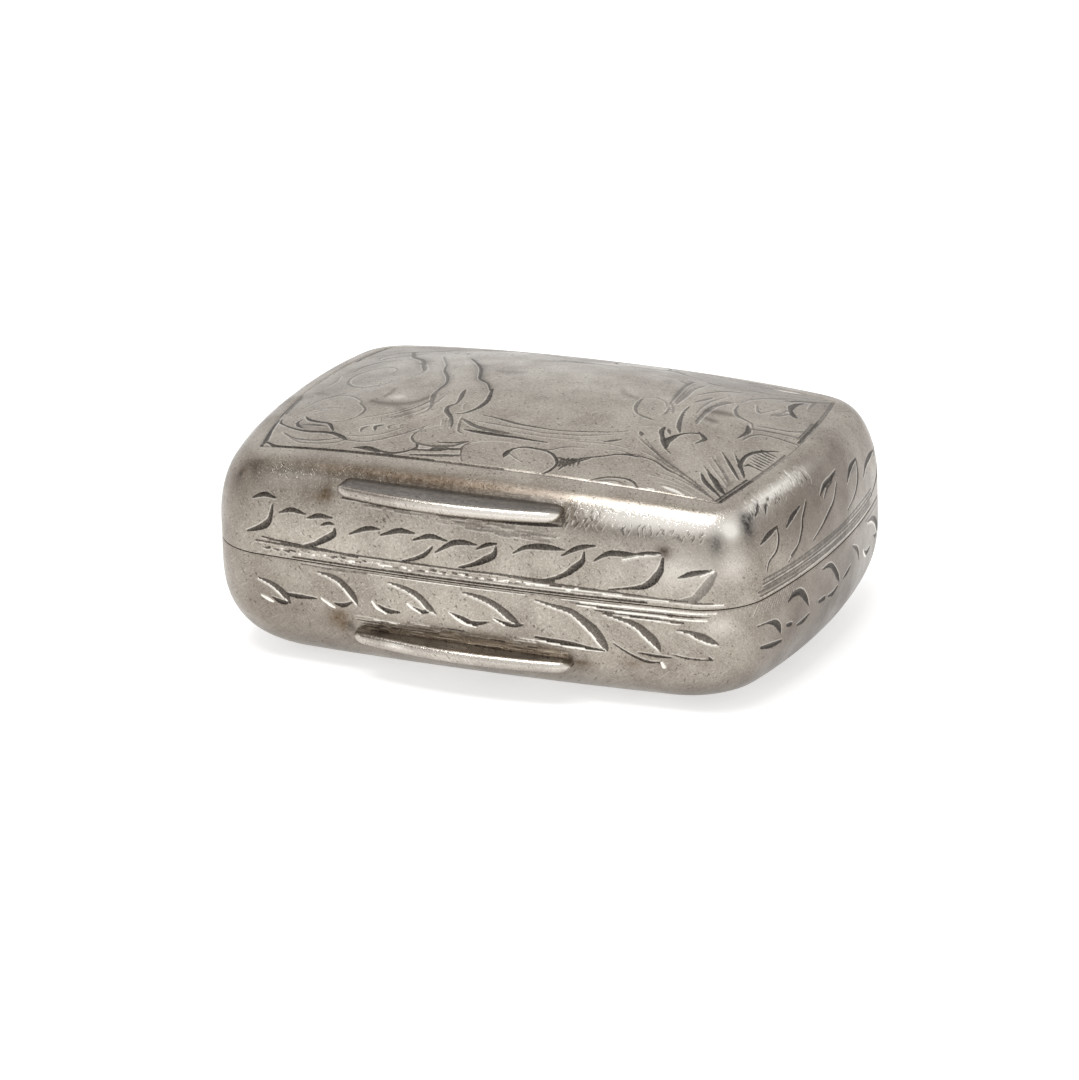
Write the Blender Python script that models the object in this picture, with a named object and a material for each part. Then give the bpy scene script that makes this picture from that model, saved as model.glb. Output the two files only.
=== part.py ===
"""A silver vinaigrette box: a cushion-shaped case that holds a scented sponge under a pierced grille.

The two raised shells of the case meet at a level parting line. The lid turns on a five-knuckle hinge at
the back. Inside the base a rim stands up for the lid to close over, and the grille lies within that rim
on a ledge, with a small three-knuckle hinge of its own. Thin crescent bars on the front of lid and base
are there for finger and thumb.

Frame: metres, +Z up, the front with the two bars towards -Y, and the origin under the middle of the case,
on the surface that it stands on.
"""

import math

import bmesh
import bpy
from mathutils import Matrix, Vector

MM = 0.001

# The case as seen from above, along the parting line
CASE_LENGTH = 34.0 * MM
CASE_DEPTH = 23.2 * MM
LONG_SIDE_BOW = 0.85 * MM
END_BOW = 1.7 * MM
CORNER_RADIUS = 3.7 * MM

# The two shells, in section
WALL = 0.5 * MM
PARTING_GAP = 0.12 * MM
JOINT_BAND = 1.0 * MM
BASE_HEIGHT = 6.5 * MM
FOOT_INSET = 5.1 * MM
FOOT_CORNER = 3.2 * MM
BASE_CURVE_POWER = 2.5
LID_RISE = 4.7 * MM
SHOULDER_INSET = 1.8 * MM
SHOULDER_CORNER = 2.1 * MM
LID_CURVE_POWER = 2.0
LID_DOME = 2.6 * MM
DOME_POWER = 2.15

# Clearances: between pieces soldered together, and round what turns
SEAT_GAP = 0.1 * MM
GROOVE_CLEARANCE = 0.12 * MM
PIN_CLEARANCE = 0.07 * MM

# The lid's hinge
HINGE_LENGTH = 20.0 * MM
KNUCKLE_COUNT = 5
HINGE_STANDOFF = 0.05 * MM
KNUCKLE_RADIUS = 0.9 * MM
KNUCKLE_GAP = 0.12 * MM
PIN_RADIUS = 0.4 * MM
BEARER_THICKNESS = 0.8 * MM
BASE_BEARER_HEIGHT = 2.2 * MM
LID_BEARER_HEIGHT = 1.6 * MM

# The inner rim that the lid closes over, and the ledge under the grille
RIM_THICKNESS = 0.4 * MM
RIM_RISE = 0.9 * MM
RIM_DEPTH = 2.0 * MM
LEDGE_WIDTH = 0.8 * MM
LEDGE_THICKNESS = 0.45 * MM

# The grille and its hinge
GRILLE_THICKNESS = 0.4 * MM
GRILLE_DROP = 0.45 * MM
GRILLE_CLEARANCE = 0.12 * MM
GRILLE_HINGE_LENGTH = 9.0 * MM
GRILLE_KNUCKLE_COUNT = 3
GRILLE_KNUCKLE_RADIUS = 0.5 * MM
GRILLE_CORNER_TAPER = 0.5
GRILLE_PIN_RADIUS = 0.2 * MM
RAIL_LENGTH = 14.0 * MM
RAIL_DEPTH = 1.1 * MM
RAIL_HEIGHT = 0.9 * MM
LIFT_TAB_WIDTH = 2.6 * MM
LIFT_TAB_HEIGHT = 1.1 * MM
LIFT_TAB_THICKNESS = 0.4 * MM
LIFT_TAB_SETBACK = 0.4 * MM

# The grille's piercings
FLOWER_EYE_RADIUS = 0.42 * MM
PETAL_COUNT = 8
PETAL_LENGTH = 1.9 * MM
PETAL_WIDTH = 0.8 * MM
PETAL_CENTRE_RADIUS = 1.85 * MM
BEAD_RADIUS = 0.32 * MM
BEAD_RING_RADIUS = 3.7 * MM
BEAD_RING_COUNT = 16
STAR_RADIUS = 1.65 * MM
STAR_COUNT = 6
STAR_RAY_LENGTH = 1.9 * MM
STAR_RAY_WIDTH = 0.7 * MM
BRANCH_START = 3.0 * MM
BRANCH_RISE = 0.9 * MM
LEAF_PITCH = 2.1 * MM
LEAF_LENGTH = 1.7 * MM
LEAF_WIDTH = 0.62 * MM
LEAF_SPREAD = 0.75 * MM
LEAF_TURN = math.radians(34)
BORDER_INSET = 1.2 * MM
BORDER_PITCH = 2.1 * MM
LEAST_BAR = 0.35 * MM
LEAF_SIDES = 8
BEAD_SIDES = 6

# The sponge
SPONGE_CLEARANCE = 0.15 * MM
SPONGE_SIDE_DROP = 2.5 * MM
SPONGE_CROWN_SHARE = 0.76

# The thumb bars on the front
BAR_HEIGHT = 0.8 * MM
BAR_PROJECTION = 1.0 * MM
BAR_END_PROJECTION = 0.3 * MM
BAR_NOSE_RADIUS = 0.34 * MM
BAR_ROOT = 2.6 * MM
LID_BAR_LENGTH = 13.9 * MM
LID_BAR_SHIFT = -0.7 * MM
LID_BAR_RISE = 4.55 * MM
BASE_BAR_LENGTH = 13.3 * MM
BASE_BAR_SHIFT = -0.3 * MM
BASE_BAR_DROP = 4.05 * MM

# Overrun of every cutter past what it cuts
OVERRUN = 1.5 * MM

# Counts of the faces that round shapes are made of
CORNER_STEPS = 6
LONG_SIDE_STEPS = 5
END_STEPS = 3
SECTION_STEPS = 7
TURNED_STEPS = 24
SMALL_TURNED_STEPS = 16
LIFT_TAB_STEPS = 12
CROWN_RING_SHARES = (0.84, 0.64, 0.42, 0.2)
SPONGE_RING_SHARES = (SPONGE_CROWN_SHARE, 0.6, 0.4, 0.2)
BAR_STEPS = 14
SMOOTH_ANGLE = math.radians(35)

# Planes and axes that pieces share
PARTING_Z = BASE_HEIGHT
HINGE_Y = CASE_DEPTH / 2 + HINGE_STANDOFF
GROOVE_RADIUS = KNUCKLE_RADIUS + GROOVE_CLEARANCE
RIM_OUTER_INSET = WALL + SEAT_GAP
RIM_INNER_INSET = RIM_OUTER_INSET + RIM_THICKNESS
BEARER_INNER_INSET = RIM_OUTER_INSET + BEARER_THICKNESS
LEDGE_OUTER_INSET = RIM_INNER_INSET + SEAT_GAP
GRILLE_INSET = RIM_INNER_INSET + GRILLE_CLEARANCE
GRILLE_TOP_Z = PARTING_Z - GRILLE_DROP
GRILLE_BOTTOM_Z = GRILLE_TOP_Z - GRILLE_THICKNESS
GRILLE_HINGE_Z = (GRILLE_TOP_Z + GRILLE_BOTTOM_Z) / 2
BACK_OPENING = HINGE_LENGTH / 2 + SEAT_GAP


def clear_scene():
    for obj in list(bpy.data.objects):
        bpy.data.objects.remove(obj, do_unlink=True)


def principled(name, colour, roughness, metallic):
    made = bpy.data.materials.new(name)
    made.use_nodes = True
    shader = made.node_tree.nodes["Principled BSDF"]
    shader.inputs["Base Color"].default_value = (*colour, 1.0)
    shader.inputs["Roughness"].default_value = roughness
    shader.inputs["Metallic"].default_value = metallic
    made.diffuse_color = (*colour, 1.0)
    return made


def materials():
    return {
        "silver": principled("aged_silver", (0.52, 0.47, 0.42), 0.32, 1.0),
        "worn": principled("polished_silver", (0.66, 0.62, 0.57), 0.2, 1.0),
        "gilt": principled("gilt_silver", (0.72, 0.5, 0.2), 0.3, 1.0),
        "sponge": principled("natural_sponge", (0.6, 0.42, 0.22), 0.95, 0.0),
    }


def add_object(name, mesh, material, helper=False, smooth=True):
    """Turns a bmesh into an object, its faces pointing out and its curved parts shaded smooth."""
    bmesh.ops.recalc_face_normals(mesh, faces=mesh.faces)
    data = bpy.data.meshes.new(name)
    mesh.to_mesh(data)
    mesh.free()
    if smooth:
        data.shade_smooth()
        data.set_sharp_from_angle(angle=SMOOTH_ANGLE)
    obj = bpy.data.objects.new(name, data)
    if material:
        data.materials.append(material)
    bpy.context.scene.collection.objects.link(obj)
    if helper:
        obj.hide_render = True
        obj.display_type = "WIRE"
    return obj


def hang(axis_name, place, names):
    """Parents the named pieces to an empty on the axis that they turn about."""
    axis = bpy.data.objects.new(axis_name, None)
    axis.location = place
    bpy.context.scene.collection.objects.link(axis)
    for name in names:
        piece = bpy.data.objects[name]
        piece.parent = axis
        piece.matrix_parent_inverse = Matrix.Translation(-Vector(place))


def cut(obj, cutter, crossing=False):
    """Takes the cutter out of the object. Crossing is for a cutter whose own solids may meet."""
    modifier = obj.modifiers.new("cut_" + cutter.name, "BOOLEAN")
    modifier.operation = "DIFFERENCE"
    modifier.solver = "EXACT"
    modifier.use_self = crossing
    modifier.object = cutter


# The outline of the case: four bowed sides, each an arc, joined by round corners


def bow_radius(half_chord, bow):
    return (half_chord**2 + bow**2) / (2 * bow)


LONG_SIDE_RADIUS = bow_radius(CASE_LENGTH / 2, LONG_SIDE_BOW)
END_RADIUS = bow_radius(CASE_DEPTH / 2, END_BOW)
LONG_SIDE_CENTRE = CASE_DEPTH / 2 - LONG_SIDE_RADIUS
END_CENTRE = CASE_LENGTH / 2 - END_RADIUS


def back_y(x, inset):
    """Where the bowed back lies at x, this far inside the outline."""
    return LONG_SIDE_CENTRE + math.sqrt((LONG_SIDE_RADIUS - inset) ** 2 - x**2)


def arc(centre, radius, start, end, steps):
    """Points from start towards end, in radians, without the last one."""
    angles = (start + (end - start) * i / steps for i in range(steps))
    return [(centre[0] + radius * math.cos(a), centre[1] + radius * math.sin(a)) for a in angles]


def corner_centre(long_reach, end_reach):
    """Where circles of these radii about the two side arcs' centres cross, in the back right quarter."""
    along = Vector((END_CENTRE, -LONG_SIDE_CENTRE))
    span = along.length
    along.normalize()
    foot = (long_reach**2 - end_reach**2 + span**2) / (2 * span)
    height = math.sqrt(long_reach**2 - foot**2)
    across = Vector((-along.y, along.x))
    middle = Vector((0, LONG_SIDE_CENTRE)) + along * foot
    return max((middle + across * height, middle - across * height), key=lambda p: p.x + p.y)


def outline(inset, corner):
    """The closed outline this far inside the case's sides, with round corners, as (x, y) points."""
    long_radius = LONG_SIDE_RADIUS - inset
    end_radius = END_RADIUS - inset
    centre = corner_centre(long_radius - corner, end_radius - corner)
    to_end = math.atan2(centre.y, centre.x - END_CENTRE)
    to_back = math.atan2(centre.y - LONG_SIDE_CENTRE, centre.x)
    quarter = arc((END_CENTRE, 0), end_radius, 0, to_end, END_STEPS)
    quarter += arc(centre, corner, to_end, to_back, CORNER_STEPS)
    quarter += arc((0, LONG_SIDE_CENTRE), long_radius, to_back, math.pi / 2, LONG_SIDE_STEPS)
    quarter.append((0, LONG_SIDE_CENTRE + long_radius))
    half = quarter + [(-x, y) for x, y in reversed(quarter[:-1])]
    return half + [(x, -y) for x, y in reversed(half[1:-1])]


# The two shells: rings of that outline, drawn in and lifted along a section


def section(inset, height, power):
    """From the joint band to the shoulder or foot, as (inset, rise) pairs on a rounded quarter curve."""
    pairs = [(0.0, 0.0)]
    for step in range(SECTION_STEPS + 1):
        angle = math.pi / 2 * step / SECTION_STEPS
        drawn_in = inset * (1 - math.cos(angle) ** (2 / power))
        pairs.append((drawn_in, JOINT_BAND + (height - JOINT_BAND) * math.sin(angle) ** (2 / power)))
    return pairs


def dome(x, y):
    share_x = abs(2 * x / CASE_LENGTH) ** DOME_POWER
    share_y = abs(2 * y / CASE_DEPTH) ** DOME_POWER
    return LID_DOME * (1 - share_x) * (1 - share_y)


def lid_rings(grown=0.0):
    """Rings of the lid's outside from the parting line to the crown, moved outwards by grown."""
    rings = []
    for inset, rise in section(SHOULDER_INSET, LID_RISE, LID_CURVE_POWER):
        share = max(rise - JOINT_BAND, 0) / (LID_RISE - JOINT_BAND)
        corner = CORNER_RADIUS + (SHOULDER_CORNER - CORNER_RADIUS) * inset / SHOULDER_INSET
        level = PARTING_Z + rise + grown * share
        ring = outline(inset - grown, corner + grown)
        rings.append([(x, y, level + share * dome(x, y)) for x, y in ring])
    shoulder = outline(SHOULDER_INSET - grown, SHOULDER_CORNER + grown)
    crown_level = PARTING_Z + LID_RISE + grown
    for share in CROWN_RING_SHARES:
        drawn = [(x * share, y * share) for x, y in shoulder]
        rings.append([(x, y, crown_level + dome(x, y)) for x, y in drawn])
    return rings


def base_rings(grown=0.0):
    """Rings of the base's outside from the parting line to the foot, moved outwards by grown."""
    rings = []
    for inset, drop in section(FOOT_INSET, BASE_HEIGHT, BASE_CURVE_POWER):
        share = max(drop - JOINT_BAND, 0) / (BASE_HEIGHT - JOINT_BAND)
        corner = CORNER_RADIUS + (FOOT_CORNER - CORNER_RADIUS) * inset / FOOT_INSET
        level = PARTING_Z - drop - grown * share
        rings.append([(x, y, level) for x, y in outline(inset - grown, corner + grown)])
    return rings


def extrude_ring(mesh, ring, points):
    """Extrudes a closed ring of vertices and puts the new ring on the given points."""
    edges = [mesh.edges.get((ring[i - 1], ring[i])) for i in range(len(ring))]
    made = bmesh.ops.extrude_edge_only(mesh, edges=edges)["geom"]
    fresh = {v for v in made if isinstance(v, bmesh.types.BMVert)}
    following = []
    for old, point in zip(ring, points):
        new = next(e.other_vert(old) for e in old.link_edges if e.other_vert(old) in fresh)
        new.co = point
        following.append(new)
    return following


def skin(rings, close_start=False, close_end="face"):
    """A mesh through a list of rings. It may start with a cap, and ends in a face, point or opening."""
    mesh = bmesh.new()
    ring = [mesh.verts.new(p) for p in rings[0]]
    for i in range(len(ring)):
        mesh.edges.new((ring[i - 1], ring[i]))
    first = list(ring)
    for points in rings[1:]:
        ring = extrude_ring(mesh, ring, points)
    if close_start:
        bmesh.ops.contextual_create(mesh, geom=first)
    if close_end == "face":
        bmesh.ops.contextual_create(mesh, geom=ring)
    elif close_end == "point":
        middle = sum((v.co for v in ring), Vector()) / len(ring)
        crown = Vector((middle.x, middle.y, PARTING_Z + LID_RISE + dome(0, 0)))
        cap = bmesh.ops.contextual_create(mesh, geom=ring)["faces"]
        poked = bmesh.ops.poke(mesh, faces=cap)["verts"][0]
        poked.co = crown
    return mesh


def thicken(obj):
    """Gives an open shell its wall, inwards."""
    modifier = obj.modifiers.new("wall", "SOLIDIFY")
    modifier.thickness = WALL
    modifier.offset = -1
    modifier.use_even_offset = True


def lowered(rings, distance):
    return [[(x, y, z + distance) for x, y, z in ring] for ring in rings]


def band(inset_out, inset_in, low, high):
    """A closed rim between two insets of the outline and two levels."""
    corner_out = CORNER_RADIUS - inset_out
    corner_in = CORNER_RADIUS - inset_in
    outside = outline(inset_out, corner_out)
    inside = outline(inset_in, corner_in)
    rings = [
        [(x, y, high) for x, y in outside],
        [(x, y, low) for x, y in outside],
        [(x, y, low) for x, y in inside],
        [(x, y, high) for x, y in inside],
    ]
    mesh = skin(rings, close_end="opening")
    open_edges = [e for e in mesh.edges if e.is_boundary]
    bmesh.ops.bridge_loops(mesh, edges=open_edges)
    return mesh


def prism(points, low, high):
    """An upright solid on a flat outline."""
    mesh = bmesh.new()
    face = mesh.faces.new([mesh.verts.new((x, y, low)) for x, y in points])
    made = bmesh.ops.extrude_face_region(mesh, geom=[face])["geom"]
    top = [v for v in made if isinstance(v, bmesh.types.BMVert)]
    bmesh.ops.translate(mesh, verts=top, vec=(0, 0, high - low))
    return mesh


def back_strip(half_length, inset_out, inset_in, low, high):
    """A strip along the inside of the bowed back."""
    places = [half_length * (2 * i / BAR_STEPS - 1) for i in range(BAR_STEPS + 1)]
    outer = [(x, back_y(x, inset_out)) for x in places]
    inner = [(x, back_y(x, inset_in)) for x in reversed(places)]
    return prism(outer + inner, low, high)


def block(low, high):
    """A block between its lowest and highest corners."""
    low, high = Vector(low), Vector(high)
    mesh = bmesh.new()
    place = Matrix.Translation((low + high) / 2) @ Matrix.Diagonal((*(high - low), 1))
    bmesh.ops.create_cube(mesh, size=1, matrix=place)
    return mesh


def tube(radius, bore, length, steps):
    """A tube along X about its own origin, or a rod where there is no bore."""
    half = length / 2
    profile = [(-half, bore), (-half, radius), (half, radius), (half, bore)]
    mesh = bmesh.new()
    verts = [mesh.verts.new((x, r, 0)) for x, r in profile]
    edges = [mesh.edges.new((verts[i], verts[i + 1])) for i in range(len(verts) - 1)]
    if bore:
        edges.append(mesh.edges.new((verts[-1], verts[0])))
    bmesh.ops.spin(
        mesh,
        geom=verts + edges,
        cent=(0, 0, 0),
        axis=(1, 0, 0),
        angle=2 * math.pi,
        steps=steps,
        use_merge=True,
    )
    if not bore:
        bmesh.ops.remove_doubles(mesh, verts=mesh.verts, dist=radius / steps)
    return mesh


# Pieces of the case


def make_shells(silver, groove):
    lift = PARTING_GAP / 2
    lid = add_object("lid_shell", skin(lowered(lid_rings(), lift), close_end="point"), silver)
    base = add_object("base_shell", skin(trimmed_base(), close_end="face"), silver)
    for shell in (lid, base):
        thicken(shell)
        cut(shell, groove)


def trimmed_base():
    """The base's rings with the first one lowered by half the parting gap, so its foot stays at zero."""
    rings = base_rings()
    return lowered(rings[:1], -PARTING_GAP / 2) + rings[1:]


def make_rim_and_ledge(silver):
    low = (-BACK_OPENING, 0, -OVERRUN)
    high = (BACK_OPENING, CASE_DEPTH, PARTING_Z + RIM_RISE + OVERRUN)
    opening = add_object("back_opening", block(low, high), None, helper=True)
    rim = band(RIM_OUTER_INSET, RIM_INNER_INSET, PARTING_Z - RIM_DEPTH, PARTING_Z + RIM_RISE)
    cut(add_object("base_rim", rim, silver), opening)
    ledge_top = GRILLE_BOTTOM_Z - SEAT_GAP
    ledge = band(
        LEDGE_OUTER_INSET,
        LEDGE_OUTER_INSET + LEDGE_WIDTH,
        ledge_top - LEDGE_THICKNESS,
        ledge_top,
    )
    cut(add_object("grille_ledge", ledge, silver), opening)


def make_lid_hinge(silver, groove):
    pitch = HINGE_LENGTH / KNUCKLE_COUNT
    names = (
        "base_knuckle_left",
        "lid_knuckle_left",
        "base_knuckle_centre",
        "lid_knuckle_right",
        "base_knuckle_right",
    )
    for place, name in enumerate(names, -(KNUCKLE_COUNT // 2)):
        made = tube(KNUCKLE_RADIUS, PIN_RADIUS + PIN_CLEARANCE, pitch - KNUCKLE_GAP, TURNED_STEPS)
        add_object(name, made, silver).location = (place * pitch, HINGE_Y, PARTING_Z)
    pin = add_object("lid_hinge_pin", tube(PIN_RADIUS, 0, HINGE_LENGTH, TURNED_STEPS), silver)
    pin.location = (0, HINGE_Y, PARTING_Z)
    lift = PARTING_GAP / 2
    levels = {
        "base_hinge_bearer": (PARTING_Z - BASE_BEARER_HEIGHT, PARTING_Z - lift),
        "lid_hinge_bearer": (PARTING_Z + lift, PARTING_Z + LID_BEARER_HEIGHT),
    }
    for name, (low, high) in levels.items():
        strip = back_strip(HINGE_LENGTH / 2, RIM_OUTER_INSET, BEARER_INNER_INSET, low, high)
        cut(add_object(name, strip, silver), groove)


def make_bar(name, form, silver, length, shift, level):
    """A thumb bar: a thin crescent on the bowed front, cut back to the shell that it is soldered to."""
    half = length / 2
    places = [half * (2 * i / BAR_STEPS - 1) for i in range(BAR_STEPS + 1)]
    front = []
    for x in places:
        swell = 1 - (x / half) ** 2
        out = BAR_END_PROJECTION + (BAR_PROJECTION - BAR_END_PROJECTION) * swell
        front.append((shift + x, -back_y(shift + x, 0) - out))
    root_y = -CASE_DEPTH / 2 + BAR_ROOT
    points = front + [(shift + half, root_y), (shift - half, root_y)]
    mesh = prism(points, level - BAR_HEIGHT / 2, level + BAR_HEIGHT / 2)
    bar = add_object(name, mesh, silver)
    nose = bar.modifiers.new("nose", "BEVEL")
    nose.width = BAR_NOSE_RADIUS
    nose.segments = 3
    nose.limit_method = "ANGLE"
    cut(bar, form)


def make_bars(silver):
    lid_form = add_object("lid_form", skin(lid_rings(SEAT_GAP), True, "point"), None, helper=True)
    base_form = add_object("base_form", skin(base_rings(SEAT_GAP), True, "face"), None, helper=True)
    lid_level = PARTING_Z + LID_BAR_RISE
    base_level = PARTING_Z - BASE_BAR_DROP
    make_bar("lid_thumb_bar", lid_form, silver, LID_BAR_LENGTH, LID_BAR_SHIFT, lid_level)
    make_bar("base_thumb_bar", base_form, silver, BASE_BAR_LENGTH, BASE_BAR_SHIFT, base_level)


# The grille, its hinge and the sponge

RAIL_BACK_Y = back_y(RAIL_LENGTH / 2, BEARER_INNER_INSET) - SEAT_GAP
GRILLE_HINGE_Y = RAIL_BACK_Y - RAIL_DEPTH / 2
GRILLE_BACK_Y = GRILLE_HINGE_Y - GRILLE_KNUCKLE_RADIUS - SEAT_GAP
GRILLE_FRONT_Y = -CASE_DEPTH / 2 + GRILLE_INSET


# The field inside the border of beads, and what is centred or counted in it
FIELD_MARGIN = BORDER_INSET + BEAD_RADIUS + LEAST_BAR
FIELD_HALF_LENGTH = CASE_LENGTH / 2 - END_BOW - GRILLE_INSET - FIELD_MARGIN
FIELD_HALF_DEPTH = (GRILLE_BACK_Y - GRILLE_FRONT_Y) / 2 - FIELD_MARGIN
STAR_OFFSET = (BEAD_RING_RADIUS + BEAD_RADIUS + FIELD_HALF_LENGTH) / 2
BRANCH_OFFSET = FIELD_HALF_DEPTH - LEAF_SPREAD - LEAF_LENGTH / 2 - BRANCH_RISE
LEAF_PAIRS = int((FIELD_HALF_LENGTH - BRANCH_START - LEAF_LENGTH / 2) / LEAF_PITCH) + 1


def oval(centre, length, width, turn):
    """A slim oval piercing as an upright prism, its points coming closer towards its tips."""
    points = []
    for step in range(LEAF_SIDES):
        angle = 2 * math.pi * step / LEAF_SIDES
        along = length / 2 * math.cos(angle)
        across = width / 2 * math.sin(angle)
        x = centre[0] + along * math.cos(turn) - across * math.sin(turn)
        y = centre[1] + along * math.sin(turn) + across * math.cos(turn)
        points.append((x, y))
    return prism(points, GRILLE_BOTTOM_Z - OVERRUN, GRILLE_TOP_Z + OVERRUN)


def bead(centre, radius):
    points = [place for place, _ in around(centre, radius, BEAD_SIDES)]
    return prism(points, GRILLE_BOTTOM_Z - OVERRUN, GRILLE_TOP_Z + OVERRUN)


def around(centre, radius, count, start=0.0):
    """Evenly spaced places on a circle, each with its angle."""
    for step in range(count):
        angle = start + 2 * math.pi * step / count
        yield (centre[0] + radius * math.cos(angle), centre[1] + radius * math.sin(angle)), angle


def border_places():
    """Places of the border holes, along the front and both ends of the grille."""
    inset = GRILLE_INSET + BORDER_INSET
    ring = [Vector(p) for p in outline(inset, FOOT_CORNER)]
    kept = [p for p in ring if p.y < GRILLE_BACK_Y - BORDER_INSET]
    start = max(range(len(kept)), key=lambda i: (kept[i] - kept[i - 1]).length)
    path = kept[start:] + kept[:start]
    total = sum((path[i + 1] - path[i]).length for i in range(len(path) - 1))
    count = int(total / BORDER_PITCH)
    places, walked, target = [], 0.0, 0.0
    for here, there in zip(path, path[1:]):
        step = (there - here).length
        while target <= walked + step and len(places) <= count:
            places.append(here.lerp(there, (target - walked) / step))
            target += total / count
        walked += step
    return places


def branch_leaves(side_x, side_y, middle):
    """The leaves of one branch, in pairs along a stem that runs outwards and curves to the corner."""
    for pair in range(LEAF_PAIRS):
        run = BRANCH_START + LEAF_PITCH * pair
        bend = BRANCH_RISE * (1 - pair / LEAF_PAIRS) ** 2
        for lean in (-1, 1):
            x = side_x * run
            y = middle[1] + side_y * (BRANCH_OFFSET + bend) + lean * LEAF_SPREAD
            yield oval((x, y), LEAF_LENGTH, LEAF_WIDTH, side_x * lean * LEAF_TURN)


def piercings():
    """Every hole of the grille: a flower in a ring of beads, two stars, four branches and a border."""
    middle = (0.0, (GRILLE_FRONT_Y + GRILLE_BACK_Y) / 2)
    yield bead(middle, FLOWER_EYE_RADIUS)
    for place, angle in around(middle, PETAL_CENTRE_RADIUS, PETAL_COUNT):
        yield oval(place, PETAL_LENGTH, PETAL_WIDTH, angle)
    for place, _ in around(middle, BEAD_RING_RADIUS, BEAD_RING_COUNT, math.pi / BEAD_RING_COUNT):
        yield bead(place, BEAD_RADIUS)
    for side_x in (-1, 1):
        centre = (side_x * STAR_OFFSET, middle[1])
        yield bead(centre, FLOWER_EYE_RADIUS)
        for place, angle in around(centre, STAR_RADIUS, STAR_COUNT, math.pi / 2):
            yield oval(place, STAR_RAY_LENGTH, STAR_RAY_WIDTH, angle)
        for side_y in (-1, 1):
            yield from branch_leaves(side_x, side_y, middle)
    for place in border_places():
        yield bead(place, BEAD_RADIUS)


def standing_room():
    """Where the grille's edge must pass so that, standing open, it clears the rim's round back corners."""
    corner = corner_centre(LONG_SIDE_RADIUS - CORNER_RADIUS, END_RADIUS - CORNER_RADIUS)
    reach = CORNER_RADIUS - GRILLE_INSET
    back = GRILLE_HINGE_Y + GRILLE_THICKNESS / 2 - corner.y
    rim_height = PARTING_Z + RIM_RISE - GRILLE_HINGE_Z
    return Vector((corner.x + math.sqrt(max(reach**2 - back**2, 0)), GRILLE_HINGE_Y - rim_height))


def trim(mesh, place, outward):
    """Cuts off what lies beyond a plane, and closes the cut."""
    everything = list(mesh.verts) + list(mesh.edges) + list(mesh.faces)
    bmesh.ops.bisect_plane(mesh, geom=everything, plane_co=place, plane_no=outward, clear_outer=True)
    bmesh.ops.holes_fill(mesh, edges=[e for e in mesh.edges if e.is_boundary])


def make_grille(gilt):
    plate = prism(outline(GRILLE_INSET, CORNER_RADIUS - GRILLE_INSET), GRILLE_BOTTOM_Z, GRILLE_TOP_Z)
    trim(plate, (0, GRILLE_BACK_Y, 0), (0, 1, 0))
    room = standing_room()
    for side in (-1, 1):
        trim(plate, (side * room.x, room.y, 0), (side, GRILLE_CORNER_TAPER, 0))
    grille = add_object("grille", plate, gilt, smooth=False)
    cutter = bmesh.new()
    for one in piercings():
        data = bpy.data.meshes.new("piercing")
        one.to_mesh(data)
        one.free()
        cutter.from_mesh(data)
        bpy.data.meshes.remove(data)
    holes = add_object("grille_piercings", cutter, None, helper=True, smooth=False)
    cut(grille, holes, crossing=True)


def make_grille_hinge(gilt, silver):
    pitch = GRILLE_HINGE_LENGTH / GRILLE_KNUCKLE_COUNT
    bore = GRILLE_PIN_RADIUS + PIN_CLEARANCE
    names = ("grille_rail_knuckle_left", "grille_knuckle", "grille_rail_knuckle_right")
    for place, name in enumerate(names, -(GRILLE_KNUCKLE_COUNT // 2)):
        made = tube(GRILLE_KNUCKLE_RADIUS, bore, pitch - KNUCKLE_GAP, SMALL_TURNED_STEPS)
        finish = gilt if name == "grille_knuckle" else silver
        add_object(name, made, finish).location = (place * pitch, GRILLE_HINGE_Y, GRILLE_HINGE_Z)
    rod = tube(GRILLE_PIN_RADIUS, 0, GRILLE_HINGE_LENGTH, SMALL_TURNED_STEPS)
    pin = add_object("grille_hinge_pin", rod, silver)
    pin.location = (0, GRILLE_HINGE_Y, GRILLE_HINGE_Z)
    rail_top = GRILLE_HINGE_Z - GRILLE_KNUCKLE_RADIUS - SEAT_GAP
    low = (-RAIL_LENGTH / 2, RAIL_BACK_Y - RAIL_DEPTH, rail_top - RAIL_HEIGHT)
    high = (RAIL_LENGTH / 2, RAIL_BACK_Y, rail_top)
    add_object("grille_rail", block(low, high), silver)


def make_lift_tab(gilt):
    """A half-round tongue standing near the front edge of the grille, for a fingernail."""
    foot_z = GRILLE_TOP_Z + SEAT_GAP
    front_y = GRILLE_FRONT_Y + LIFT_TAB_SETBACK
    mesh = bmesh.new()
    rim = []
    for step in range(LIFT_TAB_STEPS + 1):
        angle = math.pi * step / LIFT_TAB_STEPS
        across = LIFT_TAB_WIDTH / 2 * math.cos(angle)
        rim.append(mesh.verts.new((across, front_y, foot_z + LIFT_TAB_HEIGHT * math.sin(angle))))
    face = mesh.faces.new(rim)
    made = bmesh.ops.extrude_face_region(mesh, geom=[face])["geom"]
    back = [v for v in made if isinstance(v, bmesh.types.BMVert)]
    bmesh.ops.translate(mesh, verts=back, vec=(0, LIFT_TAB_THICKNESS, 0))
    add_object("grille_lift_tab", mesh, gilt)


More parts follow.
